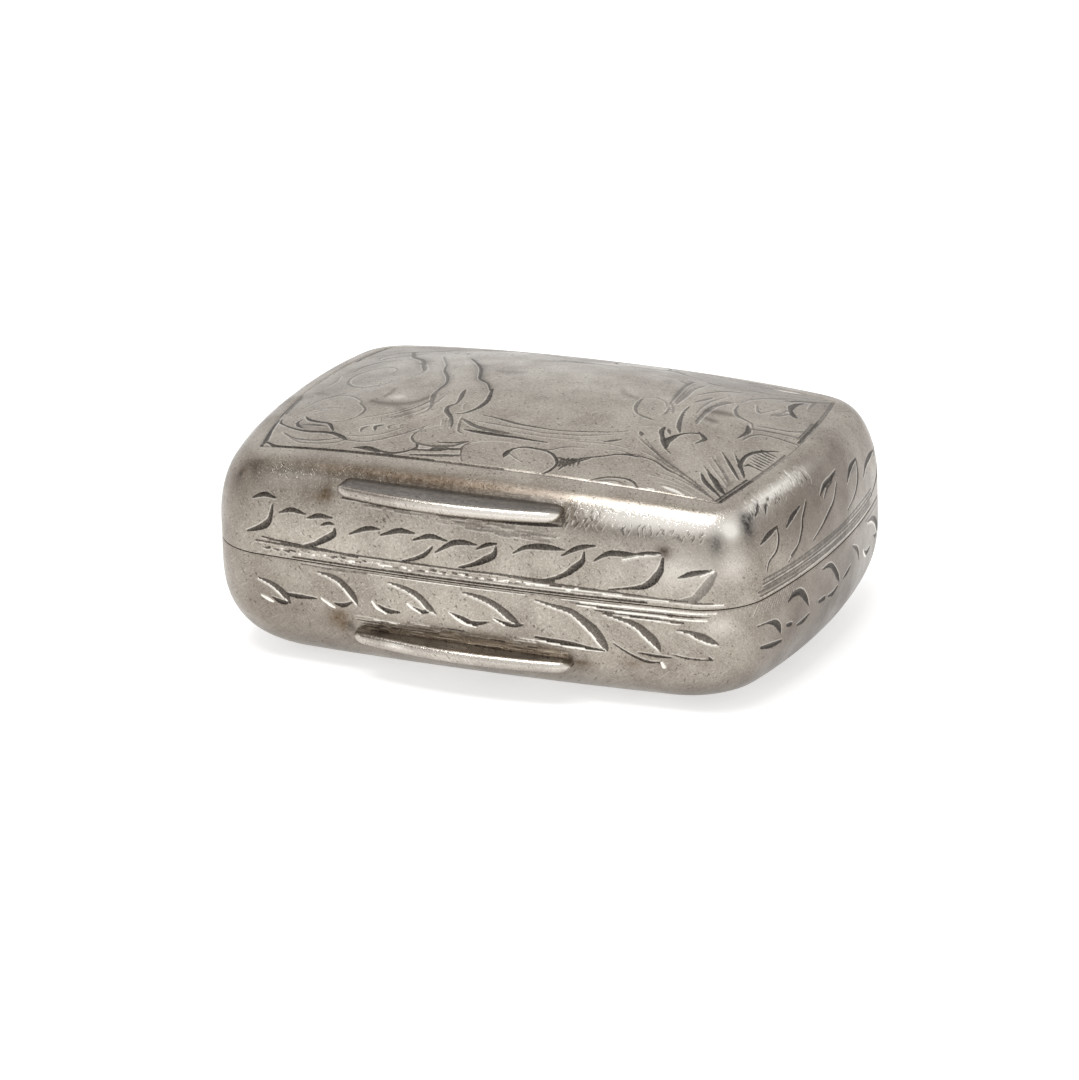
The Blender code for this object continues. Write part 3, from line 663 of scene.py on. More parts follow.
lid_leaf_veins = cuts(
    (90, (-13.1, 3.12), (-12.4, 3.4, 28), (-11.65, 3.28)),
    (85, (-11.35, 2.5, 8), (-10.6, 2.76, 27), (-9.7, 2.62)),
    (85, (-9.65, 2.43, 8), (-8.9, 2.66, 28), (-8.1, 2.65)),
    (85, (-8.75, 2.15, 8), (-8.35, 2.32, 20), (-7.95, 2.33)),
    (90, (-7, 1.9, 8), (-6, 2.35, 27), (-5.15, 2.42)),
    (90, (-5.1, 2.1), (-4, 2.5, 30), (-3.05, 2.46)),
    (90, (-3.1, 2.1), (-2.1, 2.44, 27), (-1.1, 2.28)),
    (85, (-1.8, 1.55, 8), (-0.9, 2.15, 28), (-0.2, 2.33, 30), (0.65, 2.28)),
    (85, (0.65, 2.05, 8), (1.2, 2.34, 24), (1.8, 2.48, 12)),
    (90, (2.8, 2.08, 8), (3.6, 2.5, 25), (4.7, 2.62, 34), (5.8, 2.58)),
    (85, (5.65, 2.25, 8), (6.6, 2.78, 28), (7.55, 2.98)),
    (90, (7.5, 2.15, 8), (8.3, 2.62, 28), (9.2, 2.7, 30), (9.9, 2.74)),
    (80, (9.6, 2.7, 8), (10.6, 2.88, 18), (11.3, 2.94)),
    (0, (9.1, 2.35, 8), (10.2, 2.65, 12), (11.3, 2.82)),
    (90, (12.35, 1.7, 8), (13.1, 1.98, 30), (14.2, 2.18)),
    (0, (13.6, 1.86), (14.3, 2.1, 14)),
)
print("strokes of the leaves:", len(lid_leaf_edges + lid_leaf_veins))

# %% [markdown]
# The branch goes on round the corner to the right end, where the leaves are larger and less regular.

# %% The right end of the lid
lid_right_end = cuts(
    (85, (17.6, 3), (18.5, 3.26, 30), (19.5, 3.43)),
    (80, (19.45, 3.38), (19.3, 2.7, 16), (18.9, 2.2, 12), (18.1, 1.85), (17.8, 1.4, 8)),
    (85, (20.3, 3.1), (21.1, 3.45, 28), (22.2, 3.72)),
    (80, (23, 3.75), (22.1, 3, 16), (21.85, 2.55, 18), (21.2, 1.85, 13), (20.3, 1.5, 8)),
    (70, (21.6, 2.3, 8), (21, 1.7), (20, 1.25, 8)),
    (85, (27.5, 4), (26.5, 3.88, 26), (25.5, 3.82, 26), (24.7, 3.5)),
    (70, (26.6, 3.7), (25.7, 3.55, 14), (25, 3.2, 8)),
    (75, (27, 3.4), (26.1, 2.7, 14), (25.1, 2.3, 17), (24.1, 1.9, 13), (22.9, 1.5, 8)),
    (80, (28.4, 2.9), (29.4, 3.4, 30), (30.6, 3.5)),
    (70, (30.7, 3.5), (30.2, 2.6, 20), (29.2, 1.9, 15), (27.8, 1.5, 8)),
    (80, (18, 4.6), (18.5, 4.95, 18), (18.8, 5.3)),
    (80, (18.9, 4.4), (19.2, 4.8, 16), (19.9, 5.2)),
)
print("strokes on the right end of the lid:", len(lid_right_end))

# %% [markdown]
# Such a branch goes all the way round, so the leaf of the front is repeated along the back, and the right
# end is turned over to the left. Chance, from a fixed seed, lets the hand vary a little. A stroke that
# passes the middle of the back is drawn again from the other side.

# %% The branch goes on round the lid


def lid_leaf(tip, size):
    """One leaf of the branch, its tip this far round, as on the front."""
    leaf = cuts(
        (85, (0, 2.55, 12), (-0.1, 2.05, 30), (-0.55, 1.65, 38), (-1.05, 1.25, 28), (-1.8, 0.9, 20),
         (-2.9, 0.62)),
        (90, (-4.1, 2.08, 8), (-3.3, 2.5, 25), (-2.2, 2.62, 32), (-1.15, 2.58)),
        (85, (-1.3, 2.25, 8), (-0.35, 2.78, 28), (0.6, 2.98)),
    )
    return redrawn(leaf, along=size, up=size, shift=tip)


def carried_past_the_back(strokes):
    """The strokes that pass the middle of the back, as they are measured from the other side."""
    return redrawn([s for s in strokes if s[1][:, 0].max() > HALF_WAY], shift=-2 * HALF_WAY)


chance = np.random.default_rng(4)
lid_elsewhere = []
for tip in np.arange(35.2, 79.0, 4.3):
    lid_elsewhere += lid_leaf(tip + chance.uniform(-0.15, 0.15), chance.uniform(0.95, 1.12))
lid_elsewhere += redrawn(lid_right_end, along=-1)
lid_elsewhere += carried_past_the_back(lid_elsewhere)
print("strokes elsewhere on the lid:", len(lid_elsewhere))

# %% [markdown]
# Long cuts run along the joint under the leaves, single ones on the front and a bundle at each end. The lip
# is worn, so the first of them is black with dirt, and short nicks break the bright band above it.

# %% Lines along the joint of the lid


def stem(start, stop, level, width, ink, waver=0.03, step=3.0):
    """A long cut along the joint, which the hand lets waver a little."""
    places = np.arange(start, stop + 0.01, step)
    return stroke(ink, *[(p, level + chance.uniform(-waver, waver), width) for p in places])


lid_stem = [
    stem(-12.8, 5.2, 0.74, 0.12, 0.75),
    stem(-5.0, 14.2, 0.28, 0.09, 0.4),
    stem(-10.5, 13.0, 0.06, 0.17, 1.0, 0.01),
]
lid_stem += cuts(
    (70, (1, 0.8, 8), (4.5, 0.62, 14), (8, 0.5, 15), (11, 0.42, 12), (14.2, 0.3)),
    (0, (3, 0.5), (7, 0.36, 12), (11, 0.3), (14.8, 0.2)),
    (80, (-12.4, 1), (-10.6, 0.86, 14), (-8.6, 0.8, 13), (-6.5, 0.62)),
    (90, (-7.6, 3.85, 12), (-4, 3.83, 30), (0, 3.83, 30), (4, 3.83, 26), (5.6, 3.85, 12)),
)
for start, stop in ((17.0, 34.6), (-34.6, -17.0)):
    for level in (0.22, 0.42, 0.62, 0.84, 1.06):
        lid_stem.append(stem(start + chance.uniform(0, 0.5), stop, level, 0.11, 0.6))
for start, stop in ((35.0, 52.4), (-52.4, -35.0)):
    for level in (0.3, 0.6, 0.86):
        lid_stem.append(stem(start, stop, level, 0.11, 0.6))
for place in np.arange(-12.4, 7.5, 0.34):
    level, long = 0.44 + chance.uniform(-0.1, 0.1), chance.uniform(0.12, 0.42)
    ink = 0.0 if chance.random() < 0.68 else 0.75
    width = chance.uniform(0.07, 0.16)
    lid_stem.append(stroke(ink, (place, level, 0.06), (place + long, level - 0.04, width)))
for _ in range(44):
    level = chance.uniform(2.95, 3.95)
    place = chance.uniform(-6.5 if level > 3.5 else -2.5, 4.2)
    length = chance.uniform(0.5, 1.9)
    lid_stem.append(stroke(0.5, (place, level, 0.05), (place + length, level - 0.02, 0.07)))
print("lines along the joint of the lid:", len(lid_stem))

# %% [markdown]
# Short upright nicks, like bristles, shade the wall above the leaves and at the right shoulder. Each patch
# is given by where it starts and ends, its lowest and highest place, how many nicks it has and their ink.

# %% Bristles, and all strokes on the side of the lid
BRISTLES = (
    (5.2, 8.3, 3.7, 5, 46, 0.6),
    (5.2, 9.5, 3.9, 5.1, 30, 0),
    (17.6, 24.5, 4.7, 5.7, 90, 0),
    (17.6, 24.5, 4.4, 5.2, 50, 0.65),
    (9, 14, 3.7, 4.2, 40, 0.6),
)

bristles = []
for start, stop, under, over, count, ink in BRISTLES:
    for _ in range(count):
        place, level = chance.uniform(start, stop), chance.uniform(under, over)
        lean = chance.uniform(-0.25, 0.25)
        tip = (place + lean, level + chance.uniform(0.15, 0.4), 0.06)
        bristles.append(stroke(ink, (place, level, 0.04), tip))
lid_side_strokes = bristles + lid_leaf_edges + lid_leaf_veins + lid_right_end + lid_elsewhere + lid_stem
print("strokes on the side of the lid:", len(lid_side_strokes))

# %% [markdown]
# On the base the branch hangs down: each long cut sweeps away from the joint, dark on its upper edge and
# bright on its lower one, where a thin clean cut is added as a painted highlight of the wall that catches the
# light. Small ticks like open Vs lie under them.

# %% Sweeping cuts on the base


def sweep(*points):
    """A long dark cut on the base, with a thin clean cut along its lower edge as a painted highlight."""
    path = smooth_path(in_mm(points)[::-1])
    run = np.gradient(path[:, :2], axis=0)
    side = np.column_stack([-run[:, 1], run[:, 0]]) / np.linalg.norm(run, axis=1, keepdims=True)
    side *= np.sign(side[:, 1:].sum())
    rim = np.column_stack([path[:, :2] + side * path[:, 2:] * 0.5, 0.08 + 0.1 * path[:, 2]])
    return [(0.68, path), (0.0, rim)]


base_sweep_points = (
    ((-12.75, 1.4), (-12, 1.6, 30), (-11.5, 1.88, 40), (-11.1, 2.25, 42), (-10.95, 2.65, 12)),
    ((-9, 0.5), (-8.1, 0.65, 30), (-7.45, 1, 40), (-6.9, 1.6, 42), (-6.65, 2.1, 12)),
    ((-4.7, 0.5), (-3.6, 0.75, 30), (-2.85, 1.1, 40), (-2.3, 1.65, 40), (-1.9, 1.95, 12)),
    ((-0.2, 0.5), (0.8, 0.67, 30), (1.7, 1, 40), (2.55, 1.6, 46), (3.1, 2, 12)),
    ((4.05, 0.4), (5.1, 0.62, 22), (6.1, 0.82, 35), (6.85, 1.3, 50), (7.5, 1.85, 60),
     (8, 2.6, 46), (8.15, 2.95, 12)),
    ((8, 0.75), (9.15, 0.97, 26), (9.95, 1.25, 40), (10.5, 1.68, 52), (10.95, 2.1, 48), (11.25, 2.6, 12)),
    ((12.2, 1.25, 8), (12.9, 1.32, 24), (13.45, 1.5, 42), (14, 1.75, 40), (14.5, 2.02)),
)
base_sweeps = [cut for points in base_sweep_points for cut in sweep(*points)]
print("strokes of the sweeping cuts:", len(base_sweeps))

# %% [markdown]
# The ticks lie under the sweeping cuts. The thin ones without ink are bright lines where the graver slid.

# %% Ticks on the front of the base
base_ticks = cuts(
    (0, (-12.7, 2.45), (-12.35, 2.6, 20), (-12, 2.75, 14)),
    (90, (-12, 2.45, 8), (-11.5, 2.66, 30), (-10.9, 2.62)),
    (90, (-11.1, 2.1, 14), (-10.3, 2.14, 27), (-9.2, 2.1)),
    (0, (-8.9, 2.05), (-8.5, 2.3, 18), (-8.1, 2.5, 14)),
    (85, (-8.1, 2.22, 8), (-7.55, 2.27, 26), (-7, 2.02)),
    (0, (-5.75, 1.75), (-5.5, 2.1, 18), (-4.95, 2.4, 14)),
    (85, (-5.4, 1.92, 8), (-4.8, 2.2, 28), (-4.1, 2.2, 12)),
    (0, (-3.6, 1.6), (-3.25, 1.85, 16), (-2.8, 2.08)),
    (85, (-3.25, 1.75, 8), (-2.7, 1.96, 22), (-2.2, 1.86)),
    (0, (-1.1, 1.8), (-0.3, 2.3, 18), (0.45, 2.45, 12)),
    (90, (-1.05, 1.78, 8), (-0.35, 2, 22), (0.3, 2.25, 30), (1.3, 2.05, 8)),
    (0, (1.5, 1.8), (2.2, 2.15, 13)),
    (85, (1.6, 1.78, 8), (2.3, 2.02, 20), (2.8, 2.07, 20), (3.3, 1.95)),
    (90, (4, 2.6, 12), (5, 2.72, 27), (6, 2.78, 30), (7, 2.88, 20), (8, 2.97)),
    (0, (4.6, 2.9), (5.6, 2.96, 16), (6.8, 3.02, 12), (7.9, 3.05, 8)),
    (80, (8.55, 2.45, 8), (9.5, 3, 13), (10.5, 3.38, 17), (11.25, 3.35)),
    (0, (11.35, 3.35, 14), (11.5, 3.65, 22)),
    (80, (10, 2.85, 8), (11.05, 2.95, 17), (11.95, 2.95, 8)),
    (80, (11.95, 2.75, 8), (12.8, 2.9, 11), (14.2, 2.95, 8)),
    (90, (14, 2.78), (14.15, 2.95, 14)),
)
print("ticks:", len(base_ticks))

# %% [markdown]
# On the right end the leaves are shorter and rounder, and a row of fine slanted hatching follows the joint.

# %% The right end of the base
base_right_end = cuts(
    (85, (16.9, 1.4, 8), (17.8, 1.48, 12), (18.5, 1.72, 36), (18.9, 2.1, 40), (19.1, 2.55)),
    (85, (19.9, 0.95, 14), (20.4, 0.75, 30), (21.2, 0.85, 40), (21.75, 1.35, 40), (22.15, 1.95, 12)),
    (85, (23.9, 0.5, 8), (24.9, 0.6, 27), (25.5, 1.05, 36), (26, 1.65, 36), (26.3, 2.05)),
    (70, (28.5, 0.8), (29.3, 1.3, 30), (29.7, 2, 14)),
    (90, (17.2, 2.78, 20), (18.2, 3, 34), (19.2, 3.1, 20)),
    (85, (19.75, 2.3, 20), (20.2, 2.4, 26)),
    (85, (20.9, 2.72, 12), (21.6, 2.72, 28), (22.3, 2.55)),
    (90, (23.5, 2.25, 20), (24.2, 2.3, 26)),
    (85, (24.7, 2.35), (25.4, 2.45, 26), (26.1, 2.25)),
    (80, (26.9, 2.1), (27.5, 2, 24), (28.1, 1.8)),
)
for place in np.arange(16.6, 20.5, 0.27):
    base_right_end += cuts((40, (place, 0.75, 5), (place + 0.45, 0.15, 7)))
print("strokes on the right end of the base:", len(base_right_end))

# %% [markdown]
# The back and the left end are filled as on the lid, with the hanging leaf of the front repeated.

# %% The branch goes on round the base


def base_leaf(start, size):
    """One hanging leaf with its ticks, from this place on, as on the front."""
    leaf = sweep((0, 0.5), (1.1, 0.72, 30), (1.85, 1.1, 42), (2.4, 1.65, 44), (2.8, 2.1, 12))
    leaf += cuts(
        (0, (-1, 1.75), (-0.7, 2.1, 18), (-0.2, 2.38, 14)),
        (85, (-0.7, 1.92, 8), (-0.1, 2.2, 28), (0.6, 2.15, 12)),
        (85, (1.45, 1.8, 8), (2, 2.02, 24), (2.5, 1.92)),
    )
    return redrawn(leaf, along=size, up=size, shift=start)


base_elsewhere = []
for start in np.arange(31.5, 79.0, 4.3):
    base_elsewhere += base_leaf(start + chance.uniform(-0.15, 0.15), chance.uniform(0.95, 1.12))
base_elsewhere += redrawn(base_right_end, along=-1)
base_elsewhere += carried_past_the_back(base_elsewhere)
print("strokes elsewhere on the base:", len(base_elsewhere))

# %% [markdown]
# Thin lines, bright and dark by turns, run along the joint, and rubbed streaks lie over the lower thumb
# bar.

# %% Lines and streaks, and all strokes on the side of the base
base_stem = cuts(
    (0, (5.5, 0.16, 8), (8, 0.22, 14), (11, 0.24, 16), (14.4, 0.22)),
    (80, (6, 0.3, 8), (9, 0.42, 13), (12, 0.42, 12), (14, 0.4, 8)),
    (0, (6.5, 0.42, 8), (9.5, 0.56, 13), (12, 0.6, 12), (13.9, 0.62)),
    (80, (7.5, 0.6, 8), (10, 0.7, 12), (12.6, 0.8)),
    (0, (8.6, 0.8, 8), (10.6, 0.84), (12.4, 0.92, 8)),
    (60, (-10, 0.18, 8), (-8, 0.22), (-6, 0.2, 8)),
    (95, (-8, 0.04, 6), (-3, 0.05, 12), (3, 0.04, 12), (7, 0.05), (9, 0.04, 6)),
    (0, (-6, 0.16, 6), (-1, 0.17, 9), (3.5, 0.16, 7)),
)
for start, stop in ((31.0, 52.4), (-52.4, -19.0)):
    base_stem.append(stem(start, stop, 0.28, 0.1, 0.5))
base_streaks = []
for _ in range(60):
    place, level = chance.uniform(-7.0, 4.5), chance.uniform(2.75, 3.7)
    ink, length = chance.choice([0.0, 0.55, 0.75]), chance.uniform(0.5, 1.8)
    base_streaks.append(stroke(ink, (place, level, 0.05), (place + length, level + 0.03, 0.08)))
base_side_strokes = base_streaks + base_sweeps + base_ticks + base_right_end + base_elsewhere + base_stem
print("strokes on the side of the base:", len(base_side_strokes))

# %% [markdown]
# The top of the lid has a plain field in the middle, framed by scrolls, with leaves and hatched shapes in
# the corners. Places here are x and y in mm from the middle of the lid. The left part holds a scroll that
# curls round a leaf in the front corner, and three tall leaves beside the field. A small helper writes
# hatching.

# %% Scrolls and leaves on the left of the crown


def hatch(start, end, run, count, ink, width=0.07):
    """Straight parallel cuts between two places, each going by run."""
    made = []
    for share in np.linspace(0, 1, count):
        x = start[0] + (end[0] - start[0]) * share + chance.uniform(-0.04, 0.04)
        y = start[1] + (end[1] - start[1]) * share + chance.uniform(-0.04, 0.04)
        size = chance.uniform(0.75, 1.1)
        made.append(stroke(ink, (x, y, width), (x + run[0] * size, y + run[1] * size, width * 0.8)))
    return made


crown_left = cuts(
    (85, (-12.5, -4.75), (-12, -5.3, 26), (-11.35, -5.6, 24), (-10.7, -5.8, 20),
     (-10.4, -6.05, 26), (-9.95, -6.7, 12)),
    (80, (-12.55, -5.15), (-12.65, -5.55, 22), (-12.4, -6, 22), (-12, -6.3)),
    (75, (-12.2, -5.9), (-11.3, -6, 20), (-10.6, -6.2)),
    (85, (-13.9, -4.9), (-13.75, -5.4, 16), (-13.1, -5.95, 14), (-12.3, -6.45, 18),
     (-11.4, -6.75, 26), (-10.5, -6.85, 26), (-9.8, -7, 30), (-9.2, -7.3, 34),
     (-8.7, -7.65, 14)),
    (60, (-8.7, -7.65, 12), (-7.6, -7.75), (-6.75, -7.45, 13), (-6.15, -7.1, 16),
     (-5.6, -6.75, 13), (-5, -6.25), (-4.6, -5.85, 8)),
    (65, (-12.95, -6.75), (-12.3, -7.3, 14), (-11.5, -7.65, 16), (-10.5, -7.75, 16),
     (-9.6, -7.6, 14), (-9, -7.4, 12)),
    (60, (-12.2, -7.5, 8), (-11.3, -8, 11), (-10.2, -8.05, 13), (-9.3, -7.95, 12), (-8.8, -7.65)),
    (60, (-9.9, -3.3, 8), (-9.25, -4, 16), (-9.1, -4.55, 26), (-9.3, -5.1, 12), (-10, -5.6),
     (-10.9, -5.5, 8)),
    (55, (-13.4, -4.6, 8), (-12.6, -3.9, 12), (-11.6, -3.7, 12), (-10.7, -3.9, 8)),
    (70, (-8, -6.15), (-8.3, -6.4, 24), (-8.25, -6.75)),
    (80, (-7.2, -6), (-7.6, -6.2, 30), (-7.45, -6.6, 12)),
    (60, (-6.6, -5.9, 8), (-6.85, -6.1, 18), (-6.7, -6.4, 8)),
    (50, (-6, -5.8, 8), (-6.2, -5.95, 14), (-6.1, -6.2, 8)),
    (45, (-9.1, -6.9, 8), (-8.8, -6.35), (-8.2, -6, 12), (-7.4, -5.8, 8)),
    (50, (-7.2, -5.2), (-6.7, -4.95, 20), (-6.3, -4.6)),
    (95, (-7.95, -8.35), (-7.3, -8.3, 42), (-6.7, -8.45, 40), (-6.3, -8.6, 14)),
    (85, (-6.7, -8.3), (-6.1, -8.55, 20), (-5.4, -8.58, 20), (-4.8, -8.35, 16),
     (-4.35, -7.95, 18), (-4.5, -7.6)),
    (70, (-4.75, -6.1, 8), (-5.05, -6.9, 14), (-4.8, -7.4, 16), (-4.3, -7.62, 16),
     (-3.7, -7.72, 20), (-3, -7.68, 26), (-2.3, -7.5, 20), (-1.75, -7.1, 8)),
    (80, (-3.3, -7.35), (-2.4, -7.25, 16), (-1.7, -7.05, 14)),
    (65, (-1.55, -7.1), (-1.8, -7.5, 14), (-1.65, -8.1, 14), (-1.35, -8.7)),
    (60, (-5.9, -0.9, 14), (-5.9, -1.6, 24), (-5.85, -2.2, 36), (-5.6, -3, 30),
     (-5.35, -3.7, 22), (-5.4, -4.3, 14), (-5.8, -4.8)),
    (75, (-4.35, -1.3, 12), (-4.25, -1.9, 32), (-4.1, -2.5, 30), (-4.05, -3.2, 16),
     (-4.35, -3.65, 26), (-4.2, -4.2, 34), (-3.7, -4.8, 28), (-3.35, -5.4, 20), (-3.2, -5.9)),
    (85, (-2.85, -1, 14), (-2.6, -1.9, 30), (-2.45, -2.6, 36), (-2.5, -3.2, 36),
     (-2.65, -3.65, 30), (-2.85, -4, 22), (-3.2, -4.3, 14), (-3.6, -4.4)),
    (45, (-3.4, -2.9), (-3.5, -3.3, 20), (-3.35, -3.8)),
    (60, (-3.05, -4.7), (-2.95, -5.2, 16), (-2.65, -6.1, 18), (-2.3, -6.35)),
)
crown_left += hatch((-4.0, -5.1), (-3.4, -5.3), (0.25, -0.7), 4, 0.5, 0.12)
crown_left += hatch((-4.0, -5.9), (-4.9, -6.4), (-0.55, -0.35), 4, 0.4, 0.12)
crown_left += cuts(
    (50, (-13.3, -3.6), (-12.9, -2.6, 14), (-12.2, -2, 14), (-11.2, -2, 14),
     (-10.1, -2.8, 14), (-9.6, -3.6)),
    (60, (-7.2, -4.9), (-6.3, -4.1, 16), (-5.75, -3.2, 18), (-5.6, -2.4, 12)),
    (50, (-6.9, -5.3), (-5.9, -4.4, 14), (-5.3, -3.3, 16), (-5.15, -2.3)),
    (50, (-8.9, -5.3), (-8, -4.9, 14), (-7, -4.4, 14), (-6.2, -3.6)),
    (50, (-8.8, -7.2), (-7.9, -7.2, 14), (-6.9, -6.9, 12), (-5.9, -6.2)),
)
crown_left += hatch((-3.4, -8.1), (-1.9, -7.7), (-1.1, -0.1), 7, 0.85, 0.19)
crown_left += hatch((-3.3, -8.5), (-1.7, -8.3), (-1.3, -0.12), 6, 0.8, 0.2)
print("strokes on the left of the crown:", len(crown_left))

# %% [markdown]
# Along the front edge a long double scroll runs to the right, with a hooked leaf and a fan of hatching
# under it.

# %% The front of the crown
crown_front = cuts(
    (70, (-3, -4.85), (-2.4, -5.25, 30), (-1.8, -5.55, 34), (-1.1, -5.72, 34), (-0.3, -5.82, 30),
     (0.5, -5.88)),
    (90, (-2.4, -5.95), (-1.6, -6.05, 28), (-0.8, -6.12, 30), (0, -6.15, 26), (0.9, -6.15, 20),
     (1.9, -6.2, 14), (2.7, -6.2, 8)),
    (75, (-2, -4.3, 8), (-1.2, -4.45, 14), (-0.4, -4.65, 22), (0.3, -4.8, 24),
     (1, -4.88, 18), (2.6, -4.92, 12), (3.8, -4.7, 12), (4.8, -4.4, 12), (5.7, -4.05),
     (6.4, -3.6, 8)),
    (60, (-2.4, -4.95, 8), (-1, -5.1, 13), (0.1, -5.2, 14), (1.1, -5.27, 13),
     (2.2, -5.35, 12), (3.2, -5.2, 12), (4.2, -5, 12), (5.1, -4.65), (5.7, -4.35, 8)),
    (50, (0.2, -5.6, 8), (1.6, -5.7, 11), (3, -5.65, 11), (4.4, -5.4), (5.6, -5.1, 8)),
    (50, (3.9, -5.7, 8), (5, -5.5, 11), (6.2, -5.3, 11), (7.3, -5.4, 8)),
    (75, (5.6, -5.2), (6, -4.95, 24), (6.4, -4.65)),
    (95, (0.85, -7.95, 14), (0.85, -7.65, 42), (0.95, -7.35, 24), (1.25, -7.05, 15),
     (1.75, -6.88, 16), (2.3, -6.9, 15), (2.95, -6.95, 18), (3.45, -7.2, 20), (3.85, -7.65, 20),
     (3.95, -8.05, 18), (3.8, -8.5, 22), (3.5, -8.85, 12)),
    (55, (1.1, -7.65), (1.5, -7.88, 12), (2, -8.15, 8)),
    (60, (2.5, -6.85, 8), (3.1, -6.8, 12), (3.55, -6.5, 16), (4.1, -6.25, 12), (4.9, -6.1, 8)),
    (40, (-1.55, -7.1, 8), (-0.8, -6.75), (0.2, -6.6), (1.3, -6.65, 8)),
    (85, (3.85, -7.35, 12), (4.6, -7.45, 20), (5.1, -7.1, 17), (5.65, -6.8, 14),
     (6.2, -6.5, 14), (6.8, -6.12, 14), (7.4, -5.95, 20), (7.9, -5.98)),
    (80, (4.25, -8.3, 14), (4.45, -7.9, 16), (4.9, -7.5, 12), (5.5, -7)),
    (75, (3.9, -7.7, 20), (4.3, -7.75, 20), (4.7, -7.6, 12)),
    (50, (6, -5.9, 8), (6.6, -5.75), (7.3, -5.75, 8)),
    (80, (6.3, -8.75), (6.65, -8.5, 16), (7.1, -8.25, 16), (7.65, -8.13, 17), (8.15, -8.1, 18),
     (8.6, -8.25, 20), (9, -8.62, 12)),
    (60, (6.6, -8.75), (7.2, -8.5, 16), (7.8, -8.45, 14), (8.4, -8.65, 8)),
    (0, (10.2, -8.05), (10.9, -8.2, 30), (11.6, -8.38, 12)),
    (0, (9.5, -8.5, 8), (9.9, -8.5, 14)),
)
crown_front += hatch((4.0, -7.45), (5.0, -7.15), (0.12, -0.6), 6, 0.85, 0.15)
print("strokes at the front of the crown:", len(crown_front))

# %% [markdown]
# The right part is the most crowded: leaves beside the field, long lines that run out to the front corner,
# a dark leaf in that corner with hatching beside it, and a flower on the right edge.

